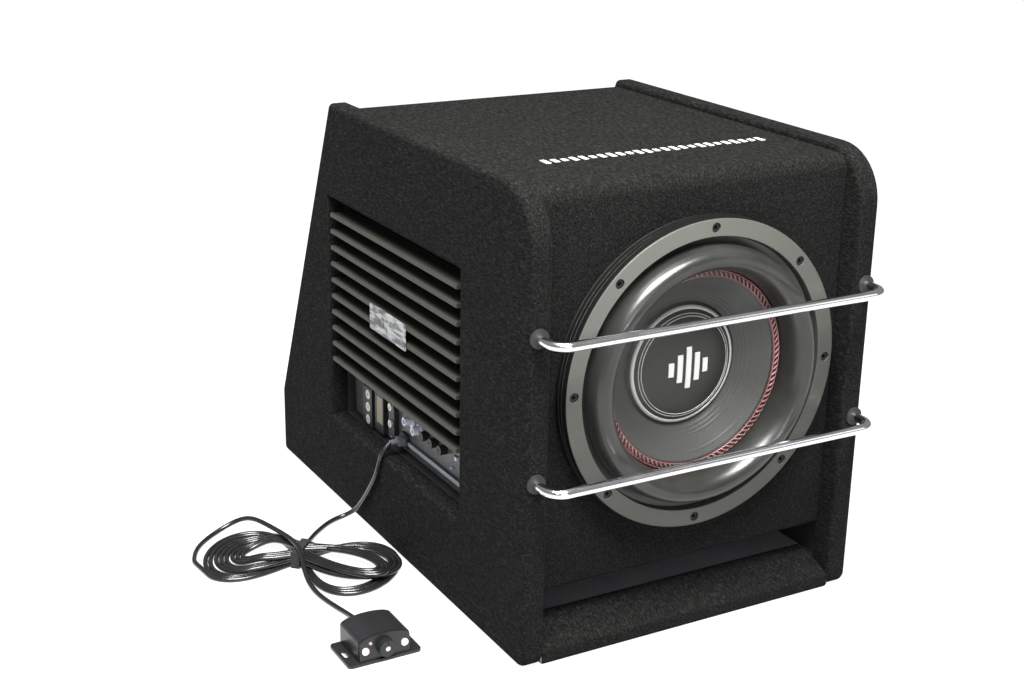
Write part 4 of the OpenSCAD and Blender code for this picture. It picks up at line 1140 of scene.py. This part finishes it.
class SUB_OT_cable(bpy.types.Operator):
    """Lay the remote's cable: lead, tied hank and tail"""
    bl_idname = "subwoofer.cable"
    bl_label = "Cable"

    def execute(self, context):
        size = context.scene.sub_cord
        whole = np.concatenate((eased(curved(route(LEAD)), 0.007)[::4], hank(size),
                                eased(curved(route(TAIL)), 0.008)[::4]))
        line = spaced(eased(whole, 0.0030), 0.0025)
        line[:, 2] = np.maximum(line[:, 2], size.thickness / 2 + 0.00005)
        made = build("remote_cable", [swept(line, size.thickness / 2, 12)], "cable_jacket",
                     replaces=("cord_lead", "cord_hank", "cord_tail"))
        return {"FINISHED"}


# ---- Carried-over pieces, stage -----------------------------------------------------

class SUB_OT_finishes(bpy.types.Operator):
    """Give each piece that comes from the CAD its finish"""
    bl_idname = "subwoofer.finishes"
    bl_label = "Finishes"

    def execute(self, context):
        for name, piece in frame["nodes"].items():
            finish = FINISHES[SLOTS[name]]
            if not piece.material_slots:
                piece.data.materials.append(finish)
            for held in piece.material_slots:
                held.material = finish
        return {"FINISHED"}


# Softboxes: where each stands, what it faces, its width and height, and its power in watts
SOFTBOXES = {"key": ((-0.45, -0.95, 2.3), (0, -0.2, 0.25), 1.6, 1.2, 245),
             "left": ((-1.5, -1.9, 1.7), (0, 0, 0.2), 0.5, 1.2, 4),
             "front": ((-0.4, -2.5, 0.85), (0, -0.2, 0.1), 1.2, 0.5, 13),
             "right": ((1.9, -2.1, 1.4), (0, 0, 0.2), 0.5, 1.4, 2.5)}


def stand(name, data, place, right, up, back):
    """Puts a new camera or lamp at a place, with its own axes along three directions."""
    made = bpy.data.objects.new(name, data)
    bpy.context.scene.collection.objects.link(made)
    pose = np.eye(4)
    pose[:3, :3] = np.stack((right, up, back), 1)
    pose[:3, 3] = place
    made.matrix_world = Matrix(pose.tolist())
    return made


class SUB_OT_stage(bpy.types.Operator):
    """Set the camera, the floor and the soft light"""
    bl_idname = "subwoofer.stage"
    bl_label = "Stage"

    def execute(self, context):
        scene, size = context.scene, context.scene.sub_stage
        view = bpy.data.cameras.new("camera")
        view.lens, view.sensor_width = size.lens, 36.0
        view.clip_start, view.clip_end = 0.05, 60
        yaw, pitch, roll = (math.radians(a) for a in (29.477, 19.027, 0.997))
        ahead = np.array((math.sin(yaw) * math.cos(pitch), math.cos(yaw) * math.cos(pitch),
                          -math.sin(pitch)))
        level = np.array((math.cos(yaw), -math.sin(yaw), 0.0))
        upright = np.cross(level, ahead)
        scene.camera = stand("camera", view, (-0.73554, -1.23849, 0.67327),
                             level * math.cos(roll) + upright * math.sin(roll),
                             -level * math.sin(roll) + upright * math.cos(roll), -ahead)

        span = np.linspace(-9, 9, 19)
        x, y = np.meshgrid(span, span, indexing="ij")
        points, faces = cells(np.stack((x, y, 0 * x), -1))
        mesh = bpy.data.meshes.new("floor")
        mesh.from_pydata(points.tolist(), [], faces.tolist())
        floor = bpy.data.objects.new("floor", mesh)
        scene.collection.objects.link(floor)
        paper = Finish("floor_paper")
        shade = tuple(scene.sub_colours.floor)
        mesh.materials.append(paper.set(
            Base_Color=paper.between(paper.noise(3, 2), tone(shade, 0.99), shade),
            Roughness=0.9, Specular_IOR_Level=0.1, Emission_Color=WHITE,
            Emission_Strength=size.glow))

        world = bpy.data.worlds.new("sky")
        scene.world = world
        world.use_nodes = True
        back = world.node_tree.nodes["Background"]
        back.inputs["Color"].default_value = WHITE
        back.inputs["Strength"].default_value = size.sky
        for name, (place, target, wide, tall, power) in SOFTBOXES.items():
            lamp = bpy.data.lights.new(name, "AREA")
            lamp.shape, lamp.size, lamp.size_y = "RECTANGLE", wide, tall
            lamp.energy = power * size.lamp
            away = np.array(place, float) - np.array(target, float)
            away /= np.linalg.norm(away)
            side = np.cross((0, 0, 1), away)
            side /= np.linalg.norm(side)
            stand(name, lamp, place, side, np.cross(away, side), away)
        scene.view_settings.view_transform = "Standard"
        return {"FINISHED"}


ORDER = (SUB_OT_stage, SUB_OT_cable, SUB_OT_side_carpets, SUB_OT_body_carpet, SUB_OT_top_marks,
         SUB_OT_surround, SUB_OT_cone, SUB_OT_stitching, SUB_OT_dust_cap, SUB_OT_spider,
         SUB_OT_finishes)


class SUB_PT_panel(bpy.types.Panel):
    """Sizes, colours and the operators that build the pieces"""
    bl_idname = "SUB_PT_panel"
    bl_label = "Powered subwoofer"
    bl_space_type = "VIEW_3D"
    bl_region_type = "UI"
    bl_category = "Subwoofer"

    def draw(self, context):
        for name, kind in GROUPS.items():
            box = self.layout.box()
            for field in kind.__annotations__:
                box.prop(getattr(context.scene, name), field)
        for operator in ORDER:
            self.layout.operator(operator.bl_idname)


def register():
    """Adds the classes to Blender, and each group of sizes to the scene."""
    for kind in (*GROUPS.values(), *ORDER, SUB_PT_panel):
        bpy.utils.register_class(kind)
    for name, kind in GROUPS.items():
        setattr(bpy.types.Scene, name, PointerProperty(type=kind))


def unregister():
    """Takes the groups and the classes away again."""
    for name in GROUPS:
        delattr(bpy.types.Scene, name)
    for kind in (SUB_PT_panel, *reversed(ORDER), *reversed(list(GROUPS.values()))):
        bpy.utils.unregister_class(kind)


def main():
    register()
    mix_finishes()
    for operator in ORDER:
        getattr(bpy.ops.subwoofer, operator.bl_idname.partition(".")[2])()


if __name__ == "__main__":
    main()
